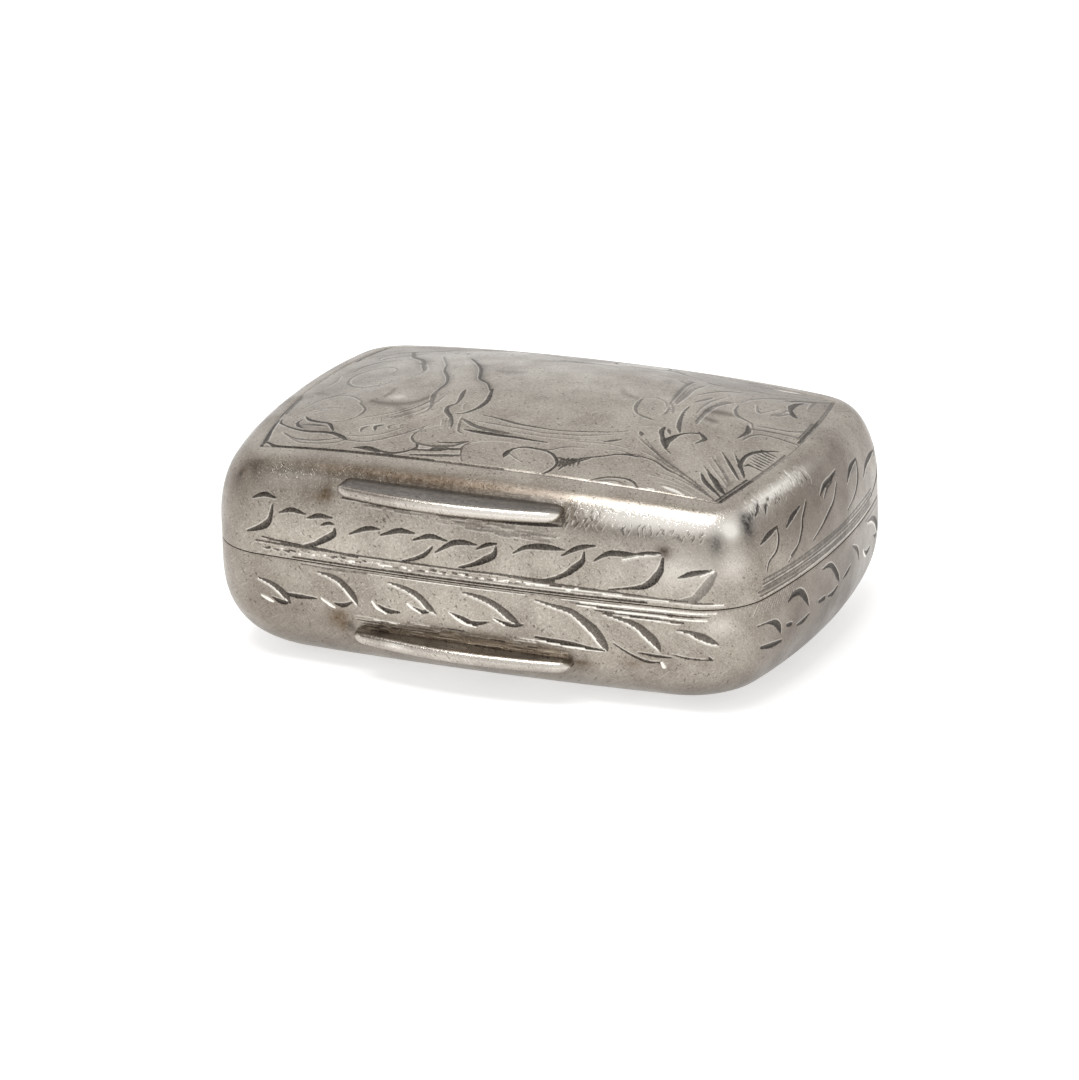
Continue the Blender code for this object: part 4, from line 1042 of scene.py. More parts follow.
# %% The right of the crown
crown_right = cuts(
    (60, (5.4, 0.7, 12), (5.45, 0, 26), (5.6, -0.75, 26), (5.9, -1.3, 18), (6.3, -1.55, 22),
     (6.75, -1.68, 24), (7.15, -1.75)),
    (50, (7.05, 0.9), (7.4, 0.3, 20), (7.6, -0.3, 12)),
    (55, (7.15, 0.3), (7.3, -0.45, 18), (7.2, -0.95, 8)),
    (75, (8, 1.1), (8.1, 0, 18), (8.4, -1.2, 30), (8.6, -1.8, 32), (8.9, -2.4, 12)),
    (95, (8.95, -4.3, 12), (8.7, -3.75, 50), (8.8, -3.2, 44), (8.95, -2.75, 26),
     (9.2, -2.35, 16), (9.55, -2.05, 15), (9.9, -1.9, 16)),
    (80, (9.75, -1.75, 12), (10.15, -2.1, 30), (10.35, -2.4, 34), (10.2, -2.8, 14), (10.1, -3.15, 8)),
    (85, (7.95, -2.2, 14), (8, -2.8, 36), (8.25, -3.3, 30), (8.55, -3.9, 32),
     (8.95, -4.5, 16), (9.4, -4.9, 8)),
    (75, (8.2, -2.3, 12), (8.35, -2.6, 26), (8.55, -2.9)),
    (70, (7, -3.4, 12), (7.15, -3.6, 34), (7.2, -3.75, 12)),
    (40, (6.8, -2.75, 8), (7.2, -2.45, 13), (7.8, -2.3, 8)),
    (65, (7.15, -4.05, 8), (8.5, -5.05, 12), (9.8, -5.9, 13), (10.6, -6.35, 15),
     (11.9, -7.15, 15), (13.9, -8.65)),
    (60, (7.55, -4, 8), (8.65, -5.1, 15), (9.45, -5.7, 15), (10.4, -6.2, 13), (11.2, -6.75, 8)),
    (60, (7.9, -5.3, 8), (8.9, -5.65, 12), (9.9, -6.2, 12), (10.9, -6.6)),
    (75, (7.15, -5.8, 8), (8.2, -5.85, 12), (9, -6, 15), (9.8, -6.45, 18),
     (10.7, -6.75, 13), (11.9, -7.35, 12), (13.7, -8.5)),
    (50, (9.6, -6.9, 8), (10.6, -7.05, 12), (11.75, -7.45, 13), (13, -8.05, 12), (13.9, -8.65)),
    (45, (9.2, -7.3, 8), (10.6, -7.4), (12, -7.9, 11), (13.6, -8.65, 8)),
    (40, (9.8, -7.7, 7), (11.2, -7.8), (12.6, -8.35), (13.6, -8.75, 7)),
    (90, (11.6, -5.9, 8), (12, -6.5, 30), (12.4, -6.9, 34), (13.1, -7.45, 22), (13.6, -7.9)),
    (95, (11.75, -5.4, 8), (12.1, -5.85, 26), (12.55, -6.3, 42), (13.15, -7, 40), (13.6, -7.4, 14)),
    (60, (11.4, -5.1, 8), (12.1, -5.85, 12), (12.7, -6.35, 13), (13.5, -6.9)),
    (65, (11.45, -4, 8), (12.2, -4.8, 14), (12.9, -5.6, 17), (13.5, -6.45)),
    (50, (11.65, -3.85, 8), (12.45, -4.9, 11), (13.1, -5.7, 12), (13.55, -6.2, 8)),
    (55, (11.5, -4.6, 8), (12.3, -5.4, 12), (13, -6.1, 14), (13.5, -6.7, 8)),
    (85, (11.7, -3.15, 8), (12.3, -3.85, 20), (12.95, -4.65, 26), (13.65, -5.5)),
    (85, (12.3, -2.85, 8), (12.9, -3.7, 22), (13.35, -4.4, 28), (13.75, -5.05, 14)),
    (95, (13.35, -4.45, 14), (13.05, -3.9, 32), (12.95, -3.3, 28), (12.92, -2.75, 26),
     (13.05, -2.15, 28), (13.35, -1.65, 30), (13.7, -1.25, 22), (14.1, -0.9, 12)),
    (80, (13.25, -3.9), (13.45, -3.6, 24), (13.75, -3.65)),
    (80, (11.75, -1.05), (11.87, -0.2, 30), (11.85, 0.25, 40), (11.55, 0.9, 16)),
    (65, (12.05, -1), (12.15, -0.35, 16), (12.45, 0.2, 16), (12.9, 0.48, 17), (13.5, 0.62, 20),
     (14.1, 0.68, 20), (15, 0.8)),
    (60, (11.9, 0.6, 16), (12.5, 0.9, 20), (13.2, 1.2, 20), (14.4, 1.65, 14)),
    (60, (11.95, 1.2), (12.6, 1.5, 18), (13.3, 1.8, 22), (13.85, 2.2, 18), (14.35, 2.9, 14)),
    (60, (10.05, 3.2), (10.2, 2.4, 20), (10.6, 1.75, 30), (11.1, 1.5, 26), (11.6, 1.3, 16), (12, 0.6)),
    (50, (9.25, -0.9), (9.1, 0.4, 24), (9.1, 1.5, 28), (9.2, 2.9, 30), (9.45, 3.4, 14)),
    (80, (12.5, 6.6, 14), (12.3, 6, 40), (12.3, 5.4, 48), (12.5, 4.8, 26), (12.9, 4.2, 40), (13.15, 4, 12)),
    (50, (12, 3.1), (12.05, 3.4, 30), (12.25, 3.9, 18), (12.4, 4.8)),
    (50, (10.8, 4.1), (11.1, 3.4, 20), (11.35, 3.1, 30), (11.5, 3.3, 16), (11.9, 4.4)),
    (45, (10.2, 4.6), (10.9, 5.9, 20), (11.8, 6.8, 20), (12.4, 7)),
    (50, (12.9, 7.4, 12), (13, 6.7, 26), (13.1, 5.9, 12)),
)
for start in np.arange(-3.5, -1.3, 0.3):
    edge = 13.35 - 0.1 * (start + 3.5)
    crown_right += cuts((85, (edge, start), (13.9, start - 0.14, 16), (14.25, start - 0.2)))
print("strokes on the right of the crown:", len(crown_right))

# %% [markdown]
# The back of the crown is seen at a glancing angle and is worn. What shows there is drawn, and between it
# the scrolls of the front are turned over, thinner and paler. That filling is a guess.

# %% The back of the crown
crown_back = cuts(
    (45, (10, 3.7), (10.2, 4.8, 20), (10.9, 5.8, 24), (11.6, 6.3, 24), (12, 6.2, 14)),
    (50, (12, 3.2), (12.3, 3.5, 30), (12.6, 4.1, 18), (12.9, 4.6)),
    (55, (8, 1.9, 14), (8.3, 2.7, 30), (8.5, 3.3, 16)),
    (60, (9.1, -0.6, 14), (9.05, 0.6, 30), (9.05, 1.8, 36), (9.3, 2.8, 36), (9.7, 3.4, 16)),
    (50, (8.7, 0.4), (8.6, 1.6, 18), (8.7, 2.8, 18), (9, 3.9)),
    (55, (7.6, 3, 12), (8, 4, 22), (8.5, 4.9, 22), (9.4, 5.6, 12)),
    (50, (7, 0.7), (6.75, 2.4, 24), (6.5, 4.2, 26), (6.5, 5.4, 12)),
    (50, (7.3, 1), (7.25, 2.4, 24), (7.1, 3.9, 26), (7.3, 5.2, 12)),
    (45, (5.4, 0.9), (6.1, 1.2, 18), (6.7, 0.9, 14), (7, 0.3)),
    (40, (-12.5, -3.7, 8), (-12.2, -3.55, 14)),
    (40, (-12.2, -4.2, 8), (-11.8, -4.05, 14)),
    (35, (-11.6, -3.9, 8), (-11.2, -3.7, 14)),
    (50, (-9.2, 0.4), (-9.8, -0.5, 20), (-11, -0.7, 24), (-12.1, 0.1, 22), (-12.5, 1.4, 20),
     (-11.9, 2.6, 20), (-10.8, 2.9, 16), (-10.1, 2.2, 12), (-10.4, 1.4), (-11, 1.3, 8)),
    (50, (-12.9, 2.6), (-12.8, 3.6, 26), (-12, 4.4, 24), (-10.9, 4.6)),
    (45, (-8.4, 0.6), (-8.2, 1.7, 20), (-8.7, 2.9, 24), (-9.6, 3.8)),
    (45, (-13.6, -0.2), (-13.3, 0.9, 24), (-13.5, 2)),
)


def turned_over(strokes, nearest_front):
    """The strokes that lie in front of this line, turned over to the back, where they are more worn."""
    front_ones = [s for s in strokes if s[1][:, 1].max() < nearest_front]
    return redrawn(front_ones, up=-1, width=0.85, ink=0.7)


crown_back += turned_over(crown_left + crown_front + crown_right[12:18], -4.6)
print("strokes on the back of the crown:", len(crown_back))

# %% [markdown]
# A line frames the crown. On each side it is written in parts, because its darkness and width change with
# the wear, and the short ends have a second line inside it. The left end is the right one turned over.

# %% The border of the crown
crown_border = cuts(
    (90, (-13.55, -8.65, 14), (-13.58, -7.9, 34), (-13.68, -7.2, 26), (-13.9, -6.1, 16), (-14.05, -5)),
    (90, (-13.4, -7.95, 12), (-12.8, -8.35, 20), (-12.1, -8.5, 22)),
)
LONG_SIDES = (
    (-12.6, -3, 0.9, 0.2),
    (-3.4, 1.2, 0.75, 0.14),
    (1.2, 5, 0.45, 0.1),
    (5, 9.6, 0.3, 0.09),
    (12.2, 14.3, 0.6, 0.12),
)
RIGHT_END = (
    (-8.7, -5, 0.95, 0.14, 0.06),
    (-8.4, -5.2, 0.9, 0.12, 0.27),
    (-5.2, -1, 0.6, 0.12, 0.08),
    (1, 4.6, 0.75, 0.16, 0.1),
    (1.4, 4, 0.6, 0.12, 0.3),
    (4.4, 8.6, 0.5, 0.16, 0.08),
)

for low, high, ink, width in LONG_SIDES:
    x = np.linspace(low, high, 9)
    y = long_centre + np.sqrt((long_radius - BORDER_LONG) ** 2 - x**2)
    for side in (-1, 1):
        crown_border.append(stroke(ink, *[(p, side * q, width) for p, q in zip(x, y)]))
for low, high, ink, width, inner in RIGHT_END:
    y = np.linspace(low, high, 9)
    x = end_centre + np.sqrt((end_radius - BORDER_END) ** 2 - y**2) - inner
    crown_border.append(stroke(ink, *[(p, q, width) for p, q in zip(x, y)]))
crown_border += redrawn(crown_border[-len(RIGHT_END) :], along=-1, up=-1)
print("strokes of the border:", len(crown_border))

# %% [markdown]
# Where the cutting is shallow or worn, soft strokes only darken the metal. Four of them are so strong that
# a narrow cut is drawn along their middle as well. Then all cuts but the border are made a little finer and
# paler together, as the polishing of two centuries has left them.

# %% Soft strokes, and all strokes on the crown
crown_soft = cuts(
    (50, (-12.3, -5.9, 100), (-11.2, -6.2, 110), (-10.3, -6.5, 90)),
    (85, (-9.3, -3, 30), (-8.7, -3.3, 50), (-7.7, -3.5, 70), (-6.8, -3.4, 70), (-6.2, -2.9, 40),
     (-5.9, -2.3, 30)),
    (60, (-7.4, -3.7, 50), (-6.8, -4.2, 60), (-6.3, -4.7, 60), (-6, -5.1, 30)),
    (90, (-6.6, 4.6, 40), (-5.7, 3.4, 55), (-5, 2.3, 65), (-4.55, 1.2, 70), (-4.2, 0.4, 55),
     (-3.5, -0.2, 40), (-2.9, -1.2, 30)),
    (80, (-7.4, 3, 30), (-7, 1.8, 50), (-6.3, 0.65, 65), (-5.9, -0.4, 50), (-5.9, -1.4, 40)),
    (60, (-8.6, 5.2, 30), (-7.9, 3.9, 40), (-7.4, 3, 40)),
    (75, (-11.2, 6.8, 70), (-10.4, 5.2, 90), (-9.4, 4.2, 90), (-8.7, 2.7, 70), (-8.3, 1.9, 40)),
    (80, (-8.65, -1.3, 30), (-8.6, -1.9, 40), (-8.75, -2.4, 30)),
    (70, (-13.7, -0.8, 40), (-13.2, -1.15, 60), (-12.7, -1.4, 30)),
    (60, (-12.6, -2.2, 40), (-12.2, -1.9, 50), (-11.6, -1.5, 40)),
    (55, (-12.1, 5.3, 60), (-12.2, 4.6, 80), (-11.8, 3.9, 50)),
    (45, (-13.4, 3.4, 50), (-13.3, 2.6, 70), (-13.6, 1.6, 60)),
    (50, (-3.8, 2.1, 40), (-3, 2, 60), (-2.4, 2.2, 40)),
    (60, (3.9, 1.5, 30), (4.3, 0.9, 50), (5.2, 0.5, 40)),
    (75, (6.4, 5.4, 40), (6.6, 4.2, 60), (6.8, 2.8, 60), (7.1, 1.4, 40)),
    (35, (5.3, 5, 50), (5.5, 4.3, 70)),
    (85, (9.1, 1.2, 50), (9.85, 1.5, 80), (10.5, 1.6, 50)),
    (80, (9.4, 0.2, 40), (9.9, 0.1, 60)),
    (40, (12.3, 0.7, 60), (13.3, 1.2, 90), (14.2, 1.7, 80)),
    (35, (7.4, -4.2, 25), (8.6, -5.1, 40), (10, -6, 35), (11, -6.6, 20)),
    (45, (4.2, -7.9, 50), (4.7, -7.4, 50)),
    (35, (-2.6, -5.5, 60), (-1, -5.95, 60), (1.2, -6.1, 30)),
    (30, (9.5, 6.8, 100), (11.5, 7.4, 100), (13.2, 7.2, 70)),
    (40, (12.4, 6.2, 60), (12.6, 5.2, 80), (12.8, 4.4, 50)),
)
crown_cores = redrawn(crown_soft[3:7], width=0.36, ink=0.75)
crown_strokes = crown_left + crown_front + crown_right + crown_back + crown_cores
crown_strokes = redrawn(crown_strokes, width=0.82, ink=0.92) + crown_border
print("strokes on the crown:", len(crown_strokes))

# %% [markdown]
# A table of points becomes a mesh by way of Blender's own grid: the operator makes the faces, and the
# points of the table are then given to its vertices. Where a table goes all the way round, its first and
# last columns meet, and merging doubles closes the seam, and a pole if the last row is one point.

# %% From tables to pieces


def finished(name, mesh, body, nodes_replaced, material, slot, smooth=35.0):
    """Turns a bmesh into a piece of the box, its edges sharp past this angle, riding on its body."""
    piece = placed(name, mesh, material)
    piece.data.shade_smooth()
    if smooth:
        piece.data.set_sharp_from_angle(angle=math.radians(smooth))
    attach(piece, body)
    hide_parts(*nodes_replaced)
    return piece


def surface(table, closed, outward, values=None):
    """A bmesh on a table of points in mm. Its faces are turned so that they look the way outward points."""
    columns, rows = table.shape[:2]
    mesh = bmesh.new()
    bmesh.ops.create_grid(mesh, x_segments=columns - (0 if closed else 1), y_segments=rows - 1, size=1)
    data = bpy.data.meshes.new("grid")
    mesh.to_mesh(data)
    mesh.free()
    wrapped = np.concatenate([table, table[:1]]) if closed else table
    data.vertices.foreach_set("co", (wrapped.transpose(1, 0, 2) * MM).ravel())
    for name, value in (values or {}).items():
        layer = data.attributes.new(name, "FLOAT", "POINT")
        wrapped_value = np.concatenate([value, value[:1]]) if closed else value
        layer.data.foreach_set("value", wrapped_value.T.astype(np.float32).ravel())
    mesh = bmesh.new()
    mesh.from_mesh(data)
    bpy.data.meshes.remove(data)
    seam, poles = set(), set()
    if closed:
        seam = {i for r in range(rows) for i in (r * (columns + 1), r * (columns + 1) + columns)}
        poles = {*range(columns + 1), *range((rows - 1) * (columns + 1), rows * (columns + 1))}
    mesh.verts.ensure_lookup_table()
    bmesh.ops.remove_doubles(mesh, verts=[mesh.verts[i] for i in seam | poles], dist=0.002 * MM)
    mesh.normal_update()
    mesh.faces.ensure_lookup_table()
    middle = mesh.faces[len(mesh.faces) // 2]
    if middle.normal.dot(Vector(outward(middle.calc_center_median() / MM))) < 0:
        bmesh.ops.reverse_faces(mesh, faces=mesh.faces)
    return mesh


def from_centre(place):
    """Away from the middle of the box at the joint."""
    return (place.x, place.y, (place.z - PARTING) * 1.5)


def to_centre(place):
    """Towards the middle of the box at the joint."""
    return (-place.x, -place.y, -(place.z - PARTING) * 1.5)


def straight_up(place):
    """Up, wherever it is."""
    return (0, 0, 1)


def straight_down(place):
    """Down, wherever it is."""
    return (0, 0, -1)


test = surface(crown[::60, ::44], False, straight_up)
print("a coarse crown would have", len(test.faces), "faces")
test.free()

# %% [markdown]
# The outside of the box is old silver, raised from sheet, engraved, and then handled and polished for two
# centuries: the plain metal is a soft warm grey with fine scratches and small dents, the high shoulder is
# polished, and the cuts hold a dark patina. The material reads from the mesh the cuts, the stains, and the
# painted shade, painted reflections and painted highlights, and the rest is noise. Scratches are drawn a
# little coarser than real ones, which would be too fine to show.

# %% Readings and patterns of old silver
CLOUD_SIZE, SPECK_SIZE, GRAIN_SIZE = 2.2, 0.3, 0.1
SCRATCH_LENGTH, SCRATCH_WIDTH = 0.8, 0.04
NICK_WIDTH = 0.06
READINGS = ("cut", "ink", "side", "shade", "brown", "black", "bright")


def per_mm(size):
    """The Scale that gives a Blender texture features of this size in mm."""
    return 1 / (size * MM)


def marks(tree, place, turn, length, width, low, high):
    """Short fine lines in one direction: noise drawn out long one way and cut off at its crests."""
    turned_place = add(tree, "Mapping", {"Vector": place, "Rotation": turn, "Location": (length * MM, 0, 0)})
    drawn_out = add(tree, "Mapping", {"Vector": turned_place, "Scale": (width / length, 1, 1)})
    lines = add(tree, "TexNoise", {"Vector": drawn_out, "Scale": per_mm(width * 2.5), "Detail": 1.0})
    return add(tree, "MapRange", [lines, low, high])


def silver_patterns(tree):
    """What the mesh says of each place, and the noises. With no cuts, tarnish or painted light, a mesh says
    zero.
    """
    found = {key: add(tree, "Attribute", attribute_name=key).outputs["Fac"] for key in READINGS}
    place = found["place"] = add(tree, "TexCoord").outputs["Object"]
    noises = ("cloud", CLOUD_SIZE, 5.0, 0.5), ("grain", GRAIN_SIZE, 2.0, 0.5), ("speck", SPECK_SIZE, 4.0, 0.7)
    for key, size, detail, rough in noises:
        links = {"Vector": place, "Scale": per_mm(size), "Detail": detail, "Roughness": rough}
        found[key] = add(tree, "TexNoise", links)
    one_way = marks(tree, place, (0.3, 0.6, 0.9), 0.3, NICK_WIDTH, 0.67, 0.73)
    other_way = marks(tree, place, (1.1, -0.7, -0.5), 0.24, NICK_WIDTH, 0.68, 0.74)
    found["nicks"] = add(tree, "Math", [one_way, other_way], operation="MAXIMUM")
    one_way = marks(tree, place, (0.2, 0.5, 0.5), SCRATCH_LENGTH, SCRATCH_WIDTH, 0.6, 0.7)
    other_way = marks(tree, place, (0.8, -0.4, -0.8), SCRATCH_LENGTH, SCRATCH_WIDTH, 0.62, 0.72)
    found["hairs"] = add(tree, "Math", [one_way, other_way], operation="MAXIMUM")
    return found


print("the scale of the grain:", round(per_mm(GRAIN_SIZE)))

# %% [markdown]
# Colours are laid over each other like glazes: clouds, grain and specks of the plain metal, then nicks and
# bright hairlines, and last what the mesh says: painted shade, the painted highlight of polished places,
# brown tarnish, and black that is dirt in places and painted shade and painted reflection in others. The
# brown and the black are patchy, because tarnish is half rubbed off.

# %% The colour of the plain metal


def metal_colour(tree, found, plain, dim):
    """The colour of the silver between the cuts, with its tarnish, painted shade and painted highlights."""
    metal = colour(plain)
    glazes = (
        ([found["cloud"], 0.35, 0.65], dim),
        ([found["grain"], 0.5, 0.72, 0.0, 0.2], "#efe9df"),
        ([found["grain"], 0.5, 0.28, 0.0, 0.2], "#5a534b"),
        ([found["speck"], 0.6, 0.74, 0.0, 0.4], "#6a6157"),
    )
    for spread, over in glazes:
        metal = add(tree, "Mix", [add(tree, "MapRange", spread), metal, colour(over)], data_type="RGBA")
    clouded = add(tree, "MapRange", [found["cloud"], 0.3, 0.7, 0.75, 1.0])
    patchy = add(tree, "MapRange", [found["speck"], 0.3, 0.62, 0.45, 1.0])
    # The shade reading is painted shade, the bright one paints highlights near white on polished places,
    # brown is tarnish, and black is dirt together with painted shade and painted reflections.
    glazes = (
        ("nicks", 0.65, "#4c453e"),
        ("hairs", 0.18, "#f2ece3"),
        ("shade", clouded, "#5c5147"),
        ("bright", 0.9, "#f4efe7"),
        ("brown", patchy, "#5c4a35"),
        ("black", patchy, "#2c2b2d"),
    )
    for reading, strength, over in glazes:
        share = add(tree, "Math", [found[reading], strength], operation="MULTIPLY")
        metal = add(tree, "Mix", [share, metal, colour(over)], data_type="RGBA")
    return metal


print("plain metal in linear light:", [round(c, 3) for c in colour("#aca499")])

# %% [markdown]
# A cut is dark on one side and paler on the other, as one wall faces the light, and that is painted shade in
# its colour; it is streaked by the graver. A cut without ink is polished bright. Along the pale side of a cut
# a thin near-white line is painted: the glint of a burr, a painted highlight.

# %% Patina with painted shade, bright cuts and the painted glint of the burr
EDGE_WAVER = 0.022


def cut_shares(tree, found):
    """How much of each place is dark filling of a cut with painted shade on one wall, clean cut, and painted
    glint.
    """
    waver = add(tree, "MapRange", [found["speck"], 0.3, 0.7, -EDGE_WAVER, EDGE_WAVER])
    edge = add(tree, "Math", [found["cut"], waver], operation="ADD")
    over_edge = [edge, CUT_REACH - 0.03, CUT_REACH + 0.02]
    inside = add(tree, "MapRange", over_edge, interpolation_type="SMOOTHSTEP")
    patina_and_shade = inside
    by_ink, by_side = [found["ink"], 0.1, 0.8], [found["side"], -1.0, 0.5, 0.75, 1.0]
    for spread in (by_ink, by_side, [found["grain"], 0.3, 0.68, 1.0, 0.82]):
        patina_and_shade = add(tree, "Math", [patina_and_shade, add(tree, "MapRange", spread)], operation="MULTIPLY")
    clean = add(tree, "Math", [1.0, found["ink"]], operation="SUBTRACT")
    for operation, number in (("MULTIPLY", inside), ("POWER", 3.0), ("MULTIPLY", 0.85)):
        clean = add(tree, "Math", [clean, number], operation=operation)
    burr_glint = add(tree, "MapRange", [found["cut"], CUT_REACH - 0.1, CUT_REACH - 0.03])
    pale_side = add(tree, "MapRange", [found["side"], -0.75, -1.1])
    outside = add(tree, "Math", [1.0, inside], operation="SUBTRACT")
    for number in (pale_side, outside, 0.35):
        burr_glint = add(tree, "Math", [burr_glint, number], operation="MULTIPLY")
    return patina_and_shade, clean, burr_glint


print("the edge of a cut wavers by", EDGE_WAVER, "mm")

# %% [markdown]
# The engraved outside and the turned hinges are the same metal, the outside a little darker. Cuts are dull
# and bright places polished. Fine relief in four sizes gives dents, grain, nicks and hairlines.

# %% Old engraved silver
DENT_SIZE, DENT_DEEP = 1.7, 0.04
RELIEFS = (("grain", 0.004), ("nicks", -0.006), ("hairs", -0.003))


def old_silver(name, plain, dim, rough, polished_rough):
    """Silver with dark cuts, painted darker on one wall, and its roughness where plain and where polished."""
    made, tree = blank_material(name)
    found = silver_patterns(tree)
    metal = metal_colour(tree, found, plain, dim)
    patina_and_shade, clean, burr_glint = cut_shares(tree, found)
    # The burr's near-white is a painted highlight; the filling of the cuts is patina, with painted shade on
    # one wall.
    for share, over in ((clean, "#f6f2ea"), (burr_glint, "#f4efe6"), (patina_and_shade, "#2b2622")):
        metal = add(tree, "Mix", [share, metal, colour(over)], data_type="RGBA")
    gloss = add(tree, "MapRange", [found["cloud"], 0.3, 0.7, rough - 0.05, rough + 0.06])
    gloss = add(tree, "Mix", [found["bright"], gloss, polished_rough])
    gloss = add(tree, "Mix", [patina_and_shade, gloss, 0.5])
    dents = add(tree, "TexNoise", {"Vector": found["place"], "Scale": per_mm(DENT_SIZE), "Detail": 1.0})
    relief = add(tree, "Bump", {"Height": dents, "Distance": DENT_DEEP * MM})
    for key, height in RELIEFS:
        relief = add(tree, "Bump", {"Height": found[key], "Distance": height * MM, "Normal": relief})
    looks = {"Base Color": metal, "Metallic": 1.0, "Roughness": gloss, "Normal": relief}
    add(tree, "OutputMaterial", {"Surface": add(tree, "BsdfPrincipled", looks)})
    return made


engraved_silver = old_silver("engraved_silver", "#aca499", "#968d83", 0.31, 0.16)
turned_silver = old_silver("turned_silver", "#b6aea4", "#a19990", 0.27, 0.18)
print("materials:", engraved_silver.name, turned_silver.name)

# %% [markdown]
# The gilding inside is a thin wash of gold over silver, warm and a little dull, with cooler silver showing
# where fingers and the sponge have rubbed it, and small brown spots where it has gone through.

# %% Gilt silver
gilt_silver, tree = blank_material("gilded_silver")
place = add(tree, "TexCoord").outputs["Object"]
rubbed = add(tree, "TexNoise", {"Vector": place, "Scale": per_mm(3.5), "Detail": 6.0, "Roughness": 0.65})
thin = add(tree, "MapRange", [rubbed, 0.5, 0.72, 0.0, 0.6])
wash = add(tree, "Mix", [thin, colour("#dac28f"), colour("#cfc4aa")], data_type="RGBA")
grain = add(tree, "TexNoise", {"Vector": place, "Scale": per_mm(0.25), "Detail": 3.0})
spots = add(tree, "MapRange", [grain, 0.6, 0.8, 0.0, 0.6])
gold = add(tree, "Mix", [spots, wash, colour("#967b50")], data_type="RGBA")
gloss = add(tree, "MapRange", [rubbed, 0.3, 0.7, 0.24, 0.4])
relief = add(tree, "Bump", {"Height": grain, "Distance": 0.008 * MM})
looks = {"Base Color": gold, "Metallic": 1.0, "Roughness": gloss, "Normal": relief}
add(tree, "OutputMaterial", {"Surface": add(tree, "BsdfPrincipled", looks)})
print("gilt:", gilt_silver.name)

# %% [markdown]
# The stains, the painted shade and painted reflections, and the painted highlights of polished places are
# written like the strokes: each is a place, its two reaches in mm, and a strength.

# %% Stains, painted shade and painted highlights
# On the lid the brown spots are tarnish, the long band under the border partly a painted dark reflection. The
# black spots are dirt, the painted shadow under the thumb bar, a painted grey mirror band under the shoulder
# highlight, and painted dark reflections on the shoulder and round the corner. The bright spots are painted
# highlights on the shoulder, the corner and the right wall, and the shade spots paint the shoulder and both
# ends darker.
lid_stains_and_light = {
    "brown": [(-3, 5.45, 8, 0.55, 1), (-8.6, 4, 0.5, 0.8, 0.85), (5.6, 4.7, 0.9, 0.45, 0.95),
              (6.9, 4.2, 1.1, 0.4, 0.6), (11.5, 3.05, 0.5, 0.42, 0.9), (-14.4, 4.5, 0.35, 0.3, 0.7),
              (-9.6, 3.6, 0.8, 0.5, 0.4), (-1, 3.85, 7, 0.22, 0.55), (11, 5.85, 5, 0.25, 0.35)],
    "black": [(11.5, 3.05, 0.36, 0.26, 0.7), (14.6, 3.55, 0.5, 0.75, 0.65), (17.4, 4.6, 0.9, 0.5, 0.6),
              (-2.5, 5.3, 7, 0.5, 0.5), (3.5, 5, 1.8, 0.35, 0.5), (10, 3.85, 4.5, 0.25, 0.3),
              (16.9, 4.3, 0.5, 0.9, 0.85), (-14.6, 4.2, 0.25, 0.4, 0.6), (29.9, 3.25, 0.9, 0.2, 0.5),
              (-1, 4.1, 6.6, 0.2, 0.7)],
    "bright": [(11.2, 4.75, 5.6, 0.6, 1), (15.6, 4.2, 0.6, 0.5, 1), (15.5, 2.6, 0.8, 0.9, 0.3),
               (-10.2, 4.85, 1.8, 0.22, 0.35), (20.8, 5.3, 3.4, 0.35, 0.9), (12.5, 2.4, 2.6, 1.2, 0.35)],
    "shade": [(-4, 5.5, 9, 0.8, 0.5), (25.5, 2.8, 8.5, 3.5, 0.95), (-15.5, 2.5, 3, 3.5, 0.5),
              (-26, 2.5, 8, 5, 0.45), (-13.5, 3.9, 2, 0.8, 0.25)],
}
# On the base the brown spots are tarnish and the black ones at the ends of the bar are dirt; the long black
# band is the painted shadow under the thumb bar. The bright spot is a painted highlight on a small bump, and
# the shade spots paint the base darker towards the foot and at both ends.
base_stains_and_light = {
    "brown": [(-7.9, 3.3, 0.7, 0.8, 0.95), (-1, 3, 6.8, 0.42, 0.4), (6.6, 4.1, 0.9, 0.45, 0.85),
              (9.6, 3.6, 0.8, 0.4, 0.5)],
    "black": [(-1, 4.75, 6.4, 0.2, 0.5), (-7.3, 3.6, 0.35, 0.35, 0.7), (6.7, 4.1, 0.5, 0.35, 0.35)],
    "bright": [(14.6, 1, 0.8, 0.6, 0.3)],
    "shade": [(0, 8, 90, 3.6, 0.45), (26, 2.5, 9.5, 7, 0.95), (-12, 3, 5, 3.5, 0.45),
              (-26, 2.5, 9, 7, 0.5)],
}
# On the crown the shade spots paint the back, both sides and a few smaller places darker, and the bright spot
# is a painted highlight.
crown_stains_and_light = {
    "shade": [(-12.4, 4, 1.3, 0.8, 0.3), (0, -7.5, 14, 1.2, 0.1), (1.5, -1.5, 1.5, 1, 0.15),
              (-12.5, 0, 4, 7, 0.3), (12.5, 3, 3, 5, 0.2), (0, 9, 40, 2.6, 0.6),
              (8, 6.5, 6, 1.5, 0.2)],
    "bright": [(-7.9, -2.55, 0.5, 0.3, 0.5)],
}
print("stains on the lid, the base and the crown:", [len(s) for s in (lid_stains_and_light, base_stains_and_light, crown_stains_and_light)])

# %% [markdown]
# Each fine surface is its table pressed in by the engraving, along the way it faces. The cuts of the sides
# are deeper than those of the crown, which is worn nearly flat.

# %% The fine surfaces of the lid and the base
SIDE_SLOPE, CROWN_SLOPE = 0.35, 0.15


def facing(table, closed):
    """The outward direction at each point of a table."""
    if closed:
        along = np.roll(table, -1, 0) - np.roll(table, 1, 0)
    else:
        along = np.gradient(table, axis=0)
    across = np.gradient(table, axis=1)
    normal = np.cross(along, across)
    return normal / (np.linalg.norm(normal, axis=2, keepdims=True) + 1e-12)


